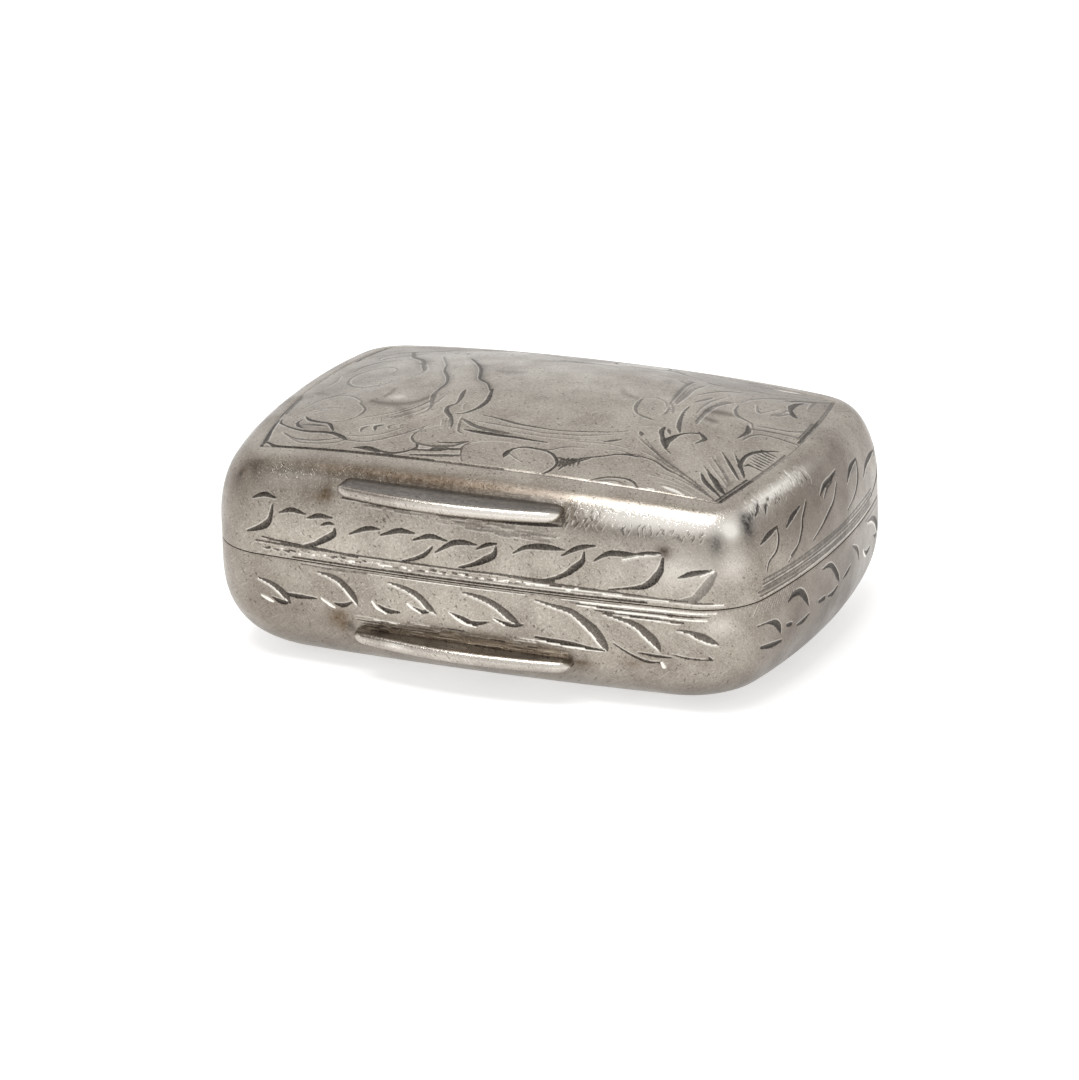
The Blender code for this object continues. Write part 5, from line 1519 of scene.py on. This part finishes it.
def side_facing(table):
    """The outward direction at each point of a table that goes round the box."""
    normal = facing(table, True)
    return normal * np.sign((normal[..., :2] * table[..., :2]).sum(-1).mean())


def dressed(table, outward, a, b, strokes, slope, stains_and_light, soft=()):
    """The table pressed in by the cuts, whose walls have this slope, and the readings for the material."""
    inside, ink, side = engrave(a, b, strokes)
    pressed = table - outward * (np.clip(inside, 0, None) * slope)[..., None]
    readings = {"cut": np.clip(inside + CUT_REACH, 0, None), "ink": ink, "side": side}
    # The spots give tarnish, painted shade and painted highlights.
    for name, spots in stains_and_light.items():
        readings[name] = stain_and_light(a, b, spots)
    if soft:
        readings["shade"] = np.maximum(readings["shade"], soft_shade(a, b, soft))
    return pressed, readings


a, b = np.meshgrid(around, lid_heights, indexing="ij")
outward = side_facing(lid_side)
pressed, readings = dressed(lid_side, outward, a, b, lid_side_strokes, SIDE_SLOPE, lid_stains_and_light)
mesh = surface(pressed, True, from_centre, readings)
print("lid side:", len(mesh.faces), "faces")
finished("lid_side", mesh, "lid", ["lid_shell"], engraved_silver, "aged_silver", 60)

a, b = np.meshgrid(around, base_depths, indexing="ij")
outward = side_facing(base_side)
pressed, readings = dressed(base_side, outward, a, b, base_side_strokes, SIDE_SLOPE, base_stains_and_light)
mesh = surface(pressed, True, from_centre, readings)
print("base side:", len(mesh.faces), "faces")
finished("base_side", mesh, "case", ["base_shell"], engraved_silver, "aged_silver", 60)

x, y = crown[..., 0], crown[..., 1]
outward = facing(crown, False)
pressed, readings = dressed(crown, outward, x, y, crown_strokes, CROWN_SLOPE, crown_stains_and_light, crown_soft)
mesh = surface(pressed, False, straight_up, readings)
print("crown:", len(mesh.faces), "faces")
finished("lid_crown", mesh, "lid", ["lid_shell"], engraved_silver, "aged_silver", 60)

# %% [markdown]
# Behind these come the gilt inside of both shells and the plain underside. Nobody engraves there, so they
# are coarser rings of the same outline, half a millimetre further in, which close to a point in the middle.

# %% Linings and underside
FOOT_RECESS = 0.12


def closing_rings(last, levels):
    """Rings that draw the last one in to its middle, at levels that follow each point's place."""
    made = []
    for share in (0.97, 0.9, 0.78, 0.62, 0.45, 0.28, 0.12, 0):
        drawn = last * share
        made.append(at_level(drawn, levels(drawn)))
    return made


def lining(inset_full, height, corner_end, power):
    """How far from the joint each ring of a quarter curve is, and the ring, a wall's thickness inside."""
    for angle in np.linspace(0, math.pi / 2, 16):
        inset, rise = quarter_curve(angle, inset_full, height, power)
        corner = CORNER_RADIUS + (corner_end - CORNER_RADIUS) * inset / inset_full - WALL
        yield rise, ring(inset + WALL, inset + WALL, corner, COARSE_STEPS)


start = ring(WALL, WALL, CORNER_RADIUS - WALL, COARSE_STEPS)
rows = [at_level(start, lid_level(start, rise)) for rise in (0.06, 0.4)]
for rise, points in lining(SHOULDER_INSET, LID_RISE, SHOULDER_CORNER, LID_POWER):
    rows.append(at_level(points, lid_level(points, rise, -WALL)))
rows += closing_rings(points, lambda p: PARTING + HALF_GAP + LID_RISE - WALL + dome(p[:, 0], p[:, 1]))
table = clear_the_hinge(np.stack(rows, 1), 1)
finished("lid_lining", surface(table, True, to_centre), "lid", ["lid_shell"], gilt_silver, "gilt_silver")

rows = [at_level(start, PARTING - drop) for drop in (0.12, 0.5)]
for drop, points in lining(FOOT_INSET, BASE_HEIGHT, FOOT_CORNER, BASE_POWER):
    share = max(drop - JOINT_BAND, 0) / (BASE_HEIGHT - JOINT_BAND)
    rows.append(at_level(points, PARTING - drop + WALL * share))
rows += closing_rings(points, lambda p: WALL)
table = clear_the_hinge(np.stack(rows, 1), -1)
finished("base_lining", surface(table, True, to_centre), "case", ["base_shell"], gilt_silver, "gilt_silver")

foot = ring(FOOT_INSET, FOOT_INSET, FOOT_CORNER, FINE_STEPS)
rows = [at_level(foot, 0.0)]
rows += closing_rings(foot, lambda p: np.clip(FOOT_RECESS * (1 - (p[:, 0] / 12) ** 2 * 0.9), 0, FOOT_RECESS))
mesh = surface(np.stack(rows, 1), True, straight_down)
print("underside:", len(mesh.faces), "faces")
finished("base_foot", mesh, "case", ["base_shell"], engraved_silver, "aged_silver")

# %% [markdown]
# The thumb bars are two thin crescents of heavier silver soldered to the front, one on each half, for a
# nail to open the box. Each is lofted: one rounded section is repeated along the crescent, and shrinks at
# the ends to give them their blunt round tips.

# %% Thumb bars
BAR_HEIGHT, BAR_NOSE = 0.74, 0.33
BAR_OUT, BAR_END_OUT = 1.0, 0.34
BAR_COLUMNS, BAR_ROWS, SHELF_ROWS = 161, 54, 13


def front_y(x):
    return -(long_centre + np.sqrt(long_radius**2 - x**2))


def thumb_bar(name, node, body, length, shift, level, root, tilt, nose_highlight, brown, black):
    """A crescent in mm. Its root is let into the shell, and the list of places says where a highlight is
    painted.
    """
    half = length / 2
    rows = []
    turn = np.linspace(-math.pi / 2, math.pi / 2, BAR_ROWS - 2 * SHELF_ROWS)
    back_steps = np.linspace(0, 1, SHELF_ROWS + 1)[:-1]
    for share in np.sin(np.linspace(-math.pi / 2, math.pi / 2, BAR_COLUMNS)):
        x = shift + half * share
        tip = max(1 - (half - abs(half * share)) / (2.2 * BAR_NOSE), 0)
        fat = math.sqrt(max(1 - tip**2, 0.0))
        swell = (BAR_OUT - BAR_END_OUT) * (1 - share**2)
        nose_y = front_y(x) - BAR_END_OUT - swell + 1.6 * BAR_NOSE * (1 - fat)
        root_y = front_y(x) + root
        tall = BAR_HEIGHT / 2 * (0.15 + 0.85 * fat) * (1 - 0.12 * share**2)
        front = nose_y + BAR_NOSE
        section = [(root_y + (front - root_y) * s, -tall) for s in back_steps]
        section += [(nose_y + BAR_NOSE * (1 - math.cos(a)), tall * math.sin(a)) for a in turn]
        section += [(front + (root_y - front) * s, tall) for s in 1 - back_steps[::-1]]
        rows.append([(x, y, level + z - tilt * share) for y, z in section])
    table = np.array(rows)
    row = np.arange(table.shape[1])
    on_shelf = np.clip((row - (BAR_ROWS - SHELF_ROWS - 5)) / 2 + 0.5, 0, 1)
    on_shelf = on_shelf * chance.uniform(0.55, 1.2, BAR_ROWS)
    under = np.clip((SHELF_ROWS + 3 - row) / 3, 0, 1)
    along = np.linspace(-1, 1, BAR_COLUMNS)[:, None]
    off_tips = 1 - along**16
    # The metal just under the bar is painted darker, as painted shade, and its shelf is streaked darker.
    # Along the nose a highlight is painted where the list of places says.
    readings = {
        "shade": off_tips * np.maximum(0.4 * on_shelf, 0.5 * under),
        "brown": off_tips * brown * on_shelf,
        "black": off_tips * (black * on_shelf + 0.6 * under),
        "bright": np.interp(along, *zip(*nose_highlight)) * np.exp(-(((row - BAR_ROWS / 2 - 4) / 6) ** 2)),
    }
    mesh = surface(table, False, lambda p: (0, -1, 0), readings)
    bmesh.ops.holes_fill(mesh, edges=[e for e in mesh.edges if e.is_boundary], sides=0)
    bmesh.ops.recalc_face_normals(mesh, faces=mesh.faces)
    return finished(name, mesh, body, [node], turned_silver, "worn_silver", 50)


lid_bar_highlight = [(-1, 0.2), (-0.35, 0.0), (0.0, 0.6), (0.5, 0.9), (1, 1.0)]
base_bar_highlight = [(-1, 0.1), (-0.5, 0.1), (-0.38, 0.9), (-0.26, 0.1), (0.3, 0.3), (0.85, 0.5), (1, 1.0)]
thumb_bar("lid_bar", "lid_thumb_bar", "lid", 13.2, -1.05, PARTING + 4.55, 1.35, 0.0, lid_bar_highlight, 0.25, 0.65)
thumb_bar("base_bar", "base_thumb_bar", "case", 12.9, -0.5, PARTING - 4.0, 0.9, 0.1, base_bar_highlight, 0.5, 0.0)
print("bar sections:", BAR_COLUMNS)

# %% [markdown]
# The hinges are turned work: short tubes that take turns along a pin. A profile spun about the pin's line
# makes each, with its rims eased as a file leaves them. Solid pins come from a profile that starts and ends
# on the line itself, where merging doubles closes the spin to a point.

# %% Profiles of knuckles and pins
KNUCKLE_RADIUS, KNUCKLE_BORE, KNUCKLE_LENGTH, KNUCKLE_PITCH = 0.9, 0.47, 3.88, 4.0
PIN_RADIUS, PIN_LENGTH = 0.4, 20.0
SMALL_RADIUS, SMALL_BORE, SMALL_LENGTH, SMALL_PITCH = 0.5, 0.27, 2.88, 3.0
SMALL_PIN_RADIUS, SMALL_PIN_LENGTH = 0.2, 9.0
GRILLE_HINGE_Z = 5.85
GRILLE_HINGE_Y = (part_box("grille_hinge_pin")[0].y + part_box("grille_hinge_pin")[1].y) / 2 / MM


def turned(name, node, body, profile, centre, material, slot):
    """Spins a profile of (x, radius) points in mm about X, and moves it to its centre."""
    mesh = bmesh.new()
    verts = [mesh.verts.new((x * MM, r * MM, 0)) for x, r in profile]
    edges = [mesh.edges.new(pair) for pair in zip(verts, verts[1:])]
    if profile[0][1] > 0:
        edges.append(mesh.edges.new((verts[-1], verts[0])))
    circle = {"cent": (0, 0, 0), "axis": (1, 0, 0), "angle": 2 * math.pi, "steps": 40, "use_merge": True}
    bmesh.ops.spin(mesh, geom=verts + edges, **circle)
    bmesh.ops.remove_doubles(mesh, verts=mesh.verts, dist=0.001 * MM)
    bmesh.ops.recalc_face_normals(mesh, faces=mesh.faces)
    bmesh.ops.translate(mesh, verts=mesh.verts, vec=Vector(centre) * MM)
    return finished(name, mesh, body, [node], material, slot, 40)


def both_ends(right):
    """A profile from its right half: the same turned over to the left comes first."""
    return [(-x, r) for x, r in right[::-1]] + right


def tube_profile(length, radius, bore, ease):
    """A tube whose outer rims are eased."""
    half = length / 2
    corner = (half - ease * 0.3, radius - ease * 0.3)
    return both_ends([(half - ease, radius), corner, (half, radius - ease), (half, bore)])


def pin_profile(length, radius):
    """A pin with blunt ends."""
    half = length / 2
    return both_ends([(half - radius * 0.25, radius), (half, radius * 0.6), (half, 0)])


large = tube_profile(KNUCKLE_LENGTH, KNUCKLE_RADIUS, KNUCKLE_BORE, 0.14)
small = tube_profile(SMALL_LENGTH, SMALL_RADIUS, SMALL_BORE, 0.08)
print("points of a knuckle's profile:", len(large))

# %% [markdown]
# The lid turns on five knuckles, three of the base and two of its own. The grille turns on three small
# ones, and the gilt one in the middle is its own.

# %% Hinge knuckles and pins
LID_HINGE = (
    ("base_knuckle_left", "case"),
    ("lid_knuckle_left", "lid"),
    ("base_knuckle_centre", "case"),
    ("lid_knuckle_right", "lid"),
    ("base_knuckle_right", "case"),
)
GRILLE_HINGE = (
    ("grille_rail_knuckle_left", "case", turned_silver, "aged_silver"),
    ("grille_knuckle", "grille_frame", gilt_silver, "gilt_silver"),
    ("grille_rail_knuckle_right", "case", turned_silver, "aged_silver"),
)

for turn, (name, body) in enumerate(LID_HINGE):
    centre = ((turn - 2) * KNUCKLE_PITCH, HINGE_Y, PARTING)
    turned("turned_" + name, name, body, large, centre, turned_silver, "aged_silver")
centre = (0, HINGE_Y, PARTING)
pin = pin_profile(PIN_LENGTH, PIN_RADIUS)
turned("turned_lid_pin", "lid_hinge_pin", "case", pin, centre, turned_silver, "aged_silver")
for turn, (name, body, finish, slot) in enumerate(GRILLE_HINGE):
    centre = ((turn - 1) * SMALL_PITCH, GRILLE_HINGE_Y, GRILLE_HINGE_Z)
    turned("turned_" + name, name, body, small, centre, finish, slot)
centre = (0, GRILLE_HINGE_Y, GRILLE_HINGE_Z)
pin = pin_profile(SMALL_PIN_LENGTH, SMALL_PIN_RADIUS)
turned("turned_grille_pin", "grille_hinge_pin", "case", pin, centre, turned_silver, "aged_silver")
print("grille hinge at", round(GRILLE_HINGE_Y, 3), GRILLE_HINGE_Z)

# %% [markdown]
# Inside the base stands a silver rim that the lid closes over, and below it a ledge that carries the
# grille. Both stop at the hinge. Each is a narrow section carried round the outline, so a table does it
# again: its rows go once round the section and its columns follow the case from one side of the hinge to
# the other.

# %% Rim and ledge
RIM_OUT, RIM_IN, RIM_LOW, RIM_HIGH = 0.6, 1.0, 4.5, 7.4
LEDGE_OUT, LEDGE_IN, LEDGE_LOW, LEDGE_HIGH = 1.1, 1.9, 5.1, 5.55
EASE = 0.07


def carried_band(name, node, outer, inner, low, high):
    """A band of this section that follows the outline from one side of the hinge to the other."""
    corner = EASE * 0.3
    section = [
        (outer, low),
        (outer, high - EASE),
        (outer + corner, high - corner),
        (outer + EASE, high),
        (inner - EASE, high),
        (inner - corner, high - corner),
        (inner, high - EASE),
        (inner, low),
        (outer, low),
    ]
    rows = [at_level(ring(inset, inset, CORNER_RADIUS - inset, COARSE_STEPS), z) for inset, z in section]
    table = np.stack(rows, 1)
    middle = table[:, 0]
    kept = ~((np.abs(middle[:, 0]) < NOTCH_HALF) & (middle[:, 1] > 0))
    first = int(np.nonzero(kept & ~np.roll(kept, 1))[0][0])
    table = np.roll(table, -first, 0)[: kept.sum()]
    mesh = surface(table, False, from_centre)
    bmesh.ops.remove_doubles(mesh, verts=mesh.verts, dist=0.001 * MM)
    bmesh.ops.holes_fill(mesh, edges=[e for e in mesh.edges if e.is_boundary], sides=0)
    bmesh.ops.recalc_face_normals(mesh, faces=mesh.faces)
    return finished(name, mesh, "case", [node], turned_silver, "aged_silver", 40)


rim = carried_band("raised_rim", "base_rim", RIM_OUT, RIM_IN, RIM_LOW, RIM_HIGH)
ledge = carried_band("soldered_ledge", "grille_ledge", LEDGE_OUT, LEDGE_IN, LEDGE_LOW, LEDGE_HIGH)
print("rim faces:", len(rim.data.polygons), "ledge faces:", len(ledge.data.polygons))

# %% [markdown]
# The grille is a gilt plate, pierced with a flower in a ring of beads, two stars, four leafy branches and a
# border of holes. Its size follows from the case and its hinge, and the places of the pattern from its
# size.

# %% Sizes of the grille
GRILLE_INSET, GRILLE_TOP, GRILLE_LOW = 1.12, 6.05, 5.65
GRILLE_FRONT = -CASE_DEPTH / 2 + GRILLE_INSET
GRILLE_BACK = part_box("grille")[1].y / MM
GRILLE_STAND = PARTING + 0.9 - GRILLE_HINGE_Z
CORNER_TAPER = 0.5
HOLE_EASE, HOLE_SIDES = 0.045, 20
BEAD_RADIUS, EYE_RADIUS = 0.32, 0.42
PETAL_CIRCLE, PETAL_LENGTH, PETAL_WIDTH = 1.85, 1.9, 0.8
BEAD_CIRCLE = 3.7
RAY_CIRCLE, RAY_LENGTH, RAY_WIDTH = 1.65, 1.9, 0.7
LEAF_LENGTH, LEAF_WIDTH, LEAF_OUT, LEAF_LEAN = 1.7, 0.62, 0.75, math.radians(34)
BRANCH_START, LEAF_PITCH, BRANCH_BEND = 3.0, 2.1, 0.9
BORDER_INSET, BORDER_PITCH, BORDER_BRIDGE, BORDER_ROUND = 1.2, 2.1, 0.35, 3.2

FIELD_MARGIN = BORDER_INSET + BEAD_RADIUS + BORDER_BRIDGE
FIELD_HALF_LENGTH = CASE_LENGTH / 2 - END_BOW - GRILLE_INSET - FIELD_MARGIN
FIELD_HALF_DEPTH = (GRILLE_BACK - GRILLE_FRONT) / 2 - FIELD_MARGIN
MIDDLE_Y = (GRILLE_FRONT + GRILLE_BACK) / 2
STAR_X = (BEAD_CIRCLE + BEAD_RADIUS + FIELD_HALF_LENGTH) / 2
BRANCH_Y = FIELD_HALF_DEPTH - LEAF_OUT - LEAF_LENGTH / 2 - BRANCH_BEND
LEAF_PAIRS = int((FIELD_HALF_LENGTH - BRANCH_START - LEAF_LENGTH / 2) / LEAF_PITCH) + 1
print("pairs of leaves on a branch:", LEAF_PAIRS)

# %% [markdown]
# Every hole is an ellipse: a bead is a round one, and a petal, a ray or a leaf is a long one that is
# turned. The border follows the front and both ends at an even pitch.

# %% The pattern of holes


def places_around(x, y, radius, count, start=0.0):
    """Places evenly round a circle, with the angle of each."""
    for step in range(count):
        angle = start + 2 * math.pi * step / count
        yield x + radius * math.cos(angle), y + radius * math.sin(angle), angle


def grille_border():
    """Places of the border holes, along the front and both ends."""
    inset = GRILLE_INSET + BORDER_INSET
    path = ring(inset, inset, BORDER_ROUND, COARSE_STEPS)
    kept = path[:, 1] < GRILLE_BACK - BORDER_INSET
    first = int(np.nonzero(kept & ~np.roll(kept, 1))[0][0])
    path = np.roll(path, -first, 0)[: kept.sum()]
    walked = np.concatenate([[0], np.cumsum(np.linalg.norm(np.diff(path, axis=0), axis=1))])
    count = int(walked[-1] / BORDER_PITCH)
    targets = np.linspace(0, walked[-1], count + 1)
    return np.column_stack([np.interp(targets, walked, path[:, 0]), np.interp(targets, walked, path[:, 1])])


def branch_holes(side, up_down):
    """The leaves of one of the four branches, in pairs that lean away from its stem."""
    for pair in range(LEAF_PAIRS):
        bend = BRANCH_BEND * (1 - pair / LEAF_PAIRS) ** 2
        for lean in (-1, 1):
            x = side * (BRANCH_START + LEAF_PITCH * pair)
            y = MIDDLE_Y + up_down * (BRANCH_Y + bend) + lean * LEAF_OUT
            yield x, y, LEAF_LENGTH, LEAF_WIDTH, side * lean * LEAF_LEAN


def grille_holes():
    """Each hole as its middle, length, width and turn."""
    yield 0, MIDDLE_Y, 2 * EYE_RADIUS, 2 * EYE_RADIUS, 0
    for x, y, angle in places_around(0, MIDDLE_Y, PETAL_CIRCLE, 8):
        yield x, y, PETAL_LENGTH, PETAL_WIDTH, angle
    for x, y, _ in places_around(0, MIDDLE_Y, BEAD_CIRCLE, 16, math.pi / 16):
        yield x, y, 2 * BEAD_RADIUS, 2 * BEAD_RADIUS, 0
    for side in (-1, 1):
        yield side * STAR_X, MIDDLE_Y, 2 * EYE_RADIUS, 2 * EYE_RADIUS, 0
        for x, y, angle in places_around(side * STAR_X, MIDDLE_Y, RAY_CIRCLE, 6, math.pi / 2):
            yield x, y, RAY_LENGTH, RAY_WIDTH, angle
        for up_down in (-1, 1):
            yield from branch_holes(side, up_down)
    for x, y in grille_border():
        yield x, y, 2 * BEAD_RADIUS, 2 * BEAD_RADIUS, 0


hole_list = list(grille_holes())
print("holes in the grille:", len(hole_list))

# %% [markdown]
# The outline of the plate and every hole is a closed loop of points. The outline is the ring of the case,
# cut straight at the back by a plane, and slanted by two more where its corners would catch the rim.

# %% Loops of the grille


def loop_of(hole, grown):
    """The loop of a hole, grown by this much all round."""
    x, y, length, width, turn = hole
    angles = np.linspace(0, 2 * math.pi, HOLE_SIDES, endpoint=False)
    along, across = (length / 2 + grown) * np.cos(angles), (width / 2 + grown) * np.sin(angles)
    to_right = x + along * math.cos(turn) - across * math.sin(turn)
    to_back = y + along * math.sin(turn) + across * math.cos(turn)
    return np.column_stack([to_right, to_back])


def plate_outline():
    """The loop of the plate itself."""
    corner = corner_centre(long_radius - CORNER_RADIUS, end_radius - CORNER_RADIUS)
    back = GRILLE_HINGE_Y + (GRILLE_TOP - GRILLE_LOW) / 2 - corner[1]
    room = corner[0] + math.sqrt(max((CORNER_RADIUS - GRILLE_INSET) ** 2 - back**2, 0))
    mesh = bmesh.new()
    points = ring(GRILLE_INSET, GRILLE_INSET, CORNER_RADIUS - GRILLE_INSET, COARSE_STEPS)
    mesh.faces.new([mesh.verts.new((x, y, 0)) for x, y in points])
    slant = GRILLE_HINGE_Y - GRILLE_STAND
    planes = (
        ((0, GRILLE_BACK, 0), (0, 1, 0)),
        ((room, slant, 0), (1, CORNER_TAPER, 0)),
        ((-room, slant, 0), (-1, CORNER_TAPER, 0)),
    )
    for place, outward in planes:
        everything = list(mesh.verts) + list(mesh.edges) + list(mesh.faces)
        bmesh.ops.bisect_plane(mesh, geom=everything, plane_co=place, plane_no=outward, clear_outer=True)
    outline = np.array([v.co[:2] for v in next(iter(mesh.faces)).verts])
    mesh.free()
    return outline


def drawn_in(outline, distance):
    """A loop moved towards its own inside."""
    run = np.roll(outline, -1, 0) - np.roll(outline, 1, 0)
    side = np.column_stack([run[:, 1], -run[:, 0]]) / np.linalg.norm(run, axis=1, keepdims=True)
    turns = np.sign((outline * side).sum())
    return outline - side * turns * distance


outline = plate_outline()
eased = drawn_in(outline, HOLE_EASE)
print("points of the plate's outline:", len(outline))

# %% [markdown]
# Each loop is drawn down through the plate with an eased rim, by extruding its edges and moving the new
# ones, and a triangle fill then closes the top and the underside around the holes.

# %% The pierced grille


def draw_loop(mesh, loop, points):
    """Extrudes a closed loop of vertices to the given points, and returns the new loop."""
    edges = [mesh.edges.get((loop[i - 1], loop[i])) for i in range(len(loop))]
    made = bmesh.ops.extrude_edge_only(mesh, edges=edges)["geom"]
    fresh = {v for v in made if isinstance(v, bmesh.types.BMVert)}
    following = []
    for old, point in zip(loop, points):
        new = next(e.other_vert(old) for e in old.link_edges if e.other_vert(old) in fresh)
        new.co = point
        following.append(new)
    return following


def lofted_wall(mesh, levels):
    """A wall through closed loops of (points, z) in mm. Returns the edges of its top and of its foot."""
    ends = []
    for points, z in levels:
        places = [Vector((x, y, z)) * MM for x, y in points]
        if not ends:
            loop = [mesh.verts.new(p) for p in places]
            for i in range(len(loop)):
                mesh.edges.new((loop[i - 1], loop[i]))
        else:
            loop = draw_loop(mesh, loop, places)
        ends.append([mesh.edges.get((loop[i - 1], loop[i])) for i in range(len(loop))])
    return ends[0], ends[-1]


mesh = bmesh.new()
top_level = (eased, GRILLE_TOP), (outline, GRILLE_TOP - HOLE_EASE)
low_level = (outline, GRILLE_LOW + HOLE_EASE), (eased, GRILLE_LOW)
top_edges, low_edges = lofted_wall(mesh, [*top_level, *low_level])
for hole in hole_list:
    wide, true = loop_of(hole, HOLE_EASE), loop_of(hole, 0)
    upper, lower = lofted_wall(mesh, [(wide, GRILLE_TOP), (true, GRILLE_TOP - HOLE_EASE), (true, GRILLE_LOW)])
    top_edges += upper
    low_edges += lower
for edges in (top_edges, low_edges):
    bmesh.ops.triangle_fill(mesh, use_beauty=True, edges=edges)
bmesh.ops.recalc_face_normals(mesh, faces=mesh.faces)
print("grille:", len(mesh.faces), "faces, open edges:", sum(e.is_boundary for e in mesh.edges))
finished("pierced_grille", mesh, "grille_frame", ["grille"], gilt_silver, "gilt_silver", 25)

# %% [markdown]
# The rail that carries the grille's hinge is a plain bar with filed edges, and the lift tab is a half round
# tongue. A bevel takes the sharpness off both.

# %% Rail and lift tab
RAIL_HALF, RAIL_DEEP, RAIL_TOP, RAIL_TALL = 7.0, 1.1, 5.25, 0.9
TAB_HALF, TAB_TALL, TAB_THICK, TAB_SETBACK = 1.3, 1.1, 0.4, 0.4


def soften(mesh, offset):
    """Bevels the sharp edges of a mesh by this much, in mm."""
    sharp = [e for e in mesh.edges if e.calc_face_angle(0) > math.radians(40)]
    width = offset * MM
    bmesh.ops.bevel(mesh, geom=sharp, offset=width, affect="EDGES", segments=2, profile=0.5, material=-1)


mesh = bmesh.new()
middle = Vector((0, GRILLE_HINGE_Y, RAIL_TOP - RAIL_TALL / 2)) * MM
shape = Matrix.Translation(middle) @ Matrix.Diagonal((2 * RAIL_HALF * MM, RAIL_DEEP * MM, RAIL_TALL * MM, 1))
bmesh.ops.create_cube(mesh, size=1, matrix=shape)
soften(mesh, 0.09)
finished("filed_rail", mesh, "case", ["grille_rail"], turned_silver, "aged_silver")

mesh = bmesh.new()
tab_y, foot = GRILLE_FRONT + TAB_SETBACK, GRILLE_TOP + 0.1
turns = np.linspace(0, math.pi, 33)
rim_points = [(TAB_HALF * math.cos(t), tab_y, foot + TAB_TALL * math.sin(t)) for t in turns]
front = mesh.faces.new([mesh.verts.new(Vector(p) * MM) for p in rim_points])
made = bmesh.ops.extrude_face_region(mesh, geom=[front])["geom"]
back_verts = [v for v in made if isinstance(v, bmesh.types.BMVert)]
bmesh.ops.translate(mesh, verts=back_verts, vec=(0, TAB_THICK * MM, 0))
bmesh.ops.recalc_face_normals(mesh, faces=mesh.faces)
soften(mesh, 0.08)
finished("lift_tongue", mesh, "grille_frame", ["grille_lift_tab"], gilt_silver, "gilt_silver")
print("rail at y", round(GRILLE_HINGE_Y, 2), "tab at y", round(tab_y, 2))

# %% [markdown]
# A piece of natural sponge holds the vinegar. It is a fibrous skin of a warm brown, dull all over. The mesh
# says how deep a place lies, and the material paints it almost black down in its pores by that: painted
# shade.

# %% Sea sponge
natural_sponge, tree = blank_material("sea_sponge")
place = add(tree, "TexCoord").outputs["Object"]
dye = add(tree, "TexNoise", {"Vector": place, "Scale": per_mm(2.5), "Detail": 5.0})
fibre = add(tree, "TexVoronoi", {"Vector": place, "Scale": per_mm(0.35)})
pore = add(tree, "Attribute", attribute_name="pore").outputs["Fac"]
skin = colour("#c8a468")
glazes = (
    ([dye, 0.35, 0.65], "#a67f47"),
    ([fibre, 0.5, 0.15, 0.0, 0.5], "#6b4c24"),
    # Painted shade: the deeper a place lies in a pore, the darker.
    ([pore, 0.15, 0.8, 0.0, 0.9], "#3a2611"),
)
for spread, over in glazes:
    skin = add(tree, "Mix", [add(tree, "MapRange", spread), skin, colour(over)], data_type="RGBA")
relief = add(tree, "Bump", {"Height": fibre, "Distance": 0.12 * MM})
looks = {"Base Color": skin, "Roughness": 0.95, "Normal": relief}
add(tree, "OutputMaterial", {"Surface": add(tree, "BsdfPrincipled", looks)})
print("sponge:", natural_sponge.name)

# %% [markdown]
# The sponge fills the base and swells up under the grille. Rings follow the curve of the walls, and every
# point is sunk by the cells of two Voronoi patterns, large holes and small, so that its skin is open and
# uneven.

# %% The sponge
SPONGE_INSET, SPONGE_SIDE, SPONGE_TOP = 0.7, 3.95, 5.45
SPONGE_HOLES = ((1.9, 0.42), (0.75, 0.5))
HOLE_DEEP = 0.75

top = ring(SPONGE_INSET, SPONGE_INSET, CORNER_RADIUS - SPONGE_INSET, COARSE_STEPS)
rows = []
for share in np.linspace(0, 0.985, 34):
    level = SPONGE_SIDE + (SPONGE_TOP - SPONGE_SIDE) * min(1, 1.02 - (share / 0.99) ** 4)
    rows.append(at_level(top * share, level))
for angle in np.linspace(0, math.pi / 2, 26):
    inset, drop = quarter_curve(angle, FOOT_INSET, BASE_HEIGHT, BASE_POWER)
    height = PARTING - drop + SPONGE_INSET * max(drop - JOINT_BAND, 0) / (BASE_HEIGHT - JOINT_BAND)
    if height < SPONGE_SIDE - 0.1:
        corner = CORNER_RADIUS + (FOOT_CORNER - CORNER_RADIUS) * inset / FOOT_INSET - SPONGE_INSET
        points = ring(inset + SPONGE_INSET, inset + SPONGE_INSET, corner, COARSE_STEPS)
        rows.append(at_level(points, height))
rows += closing_rings(points, lambda p: height)
table = np.stack(rows, 1)
depth = np.zeros(table.shape[:2])
for cell, reach in SPONGE_HOLES:
    near = [noise.voronoi(Vector(p) / cell)[0][0] for p in table.reshape(-1, 3)]
    sunk = np.clip(1 - np.array(near).reshape(depth.shape) / reach, 0, 1) * min(1, cell / 1.2)
    depth = np.maximum(depth, sunk)
outward = facing(table, True)
outward *= np.sign(outward[:, 5, 2].mean())
table = table - outward * (HOLE_DEEP * depth)[..., None]
mesh = surface(table, True, from_centre, {"pore": depth})
print("sponge:", len(mesh.faces), "faces, open edges:", sum(e.is_boundary for e in mesh.edges))
finished("sponge_filling", mesh, "case", ["sponge"], natural_sponge, "natural_sponge", 0)

# %% [markdown]
# The two bearers that hold the knuckles to the shells are plain strips, and their solids have that shape
# already. They only take the finish of the silver. The other nodes have given way to the pieces above.

# %% The bearers of the hinge
for node in nodes.values():
    for place in node.material_slots:
        place.material = turned_silver
print("nodes of the frame:", len(nodes))
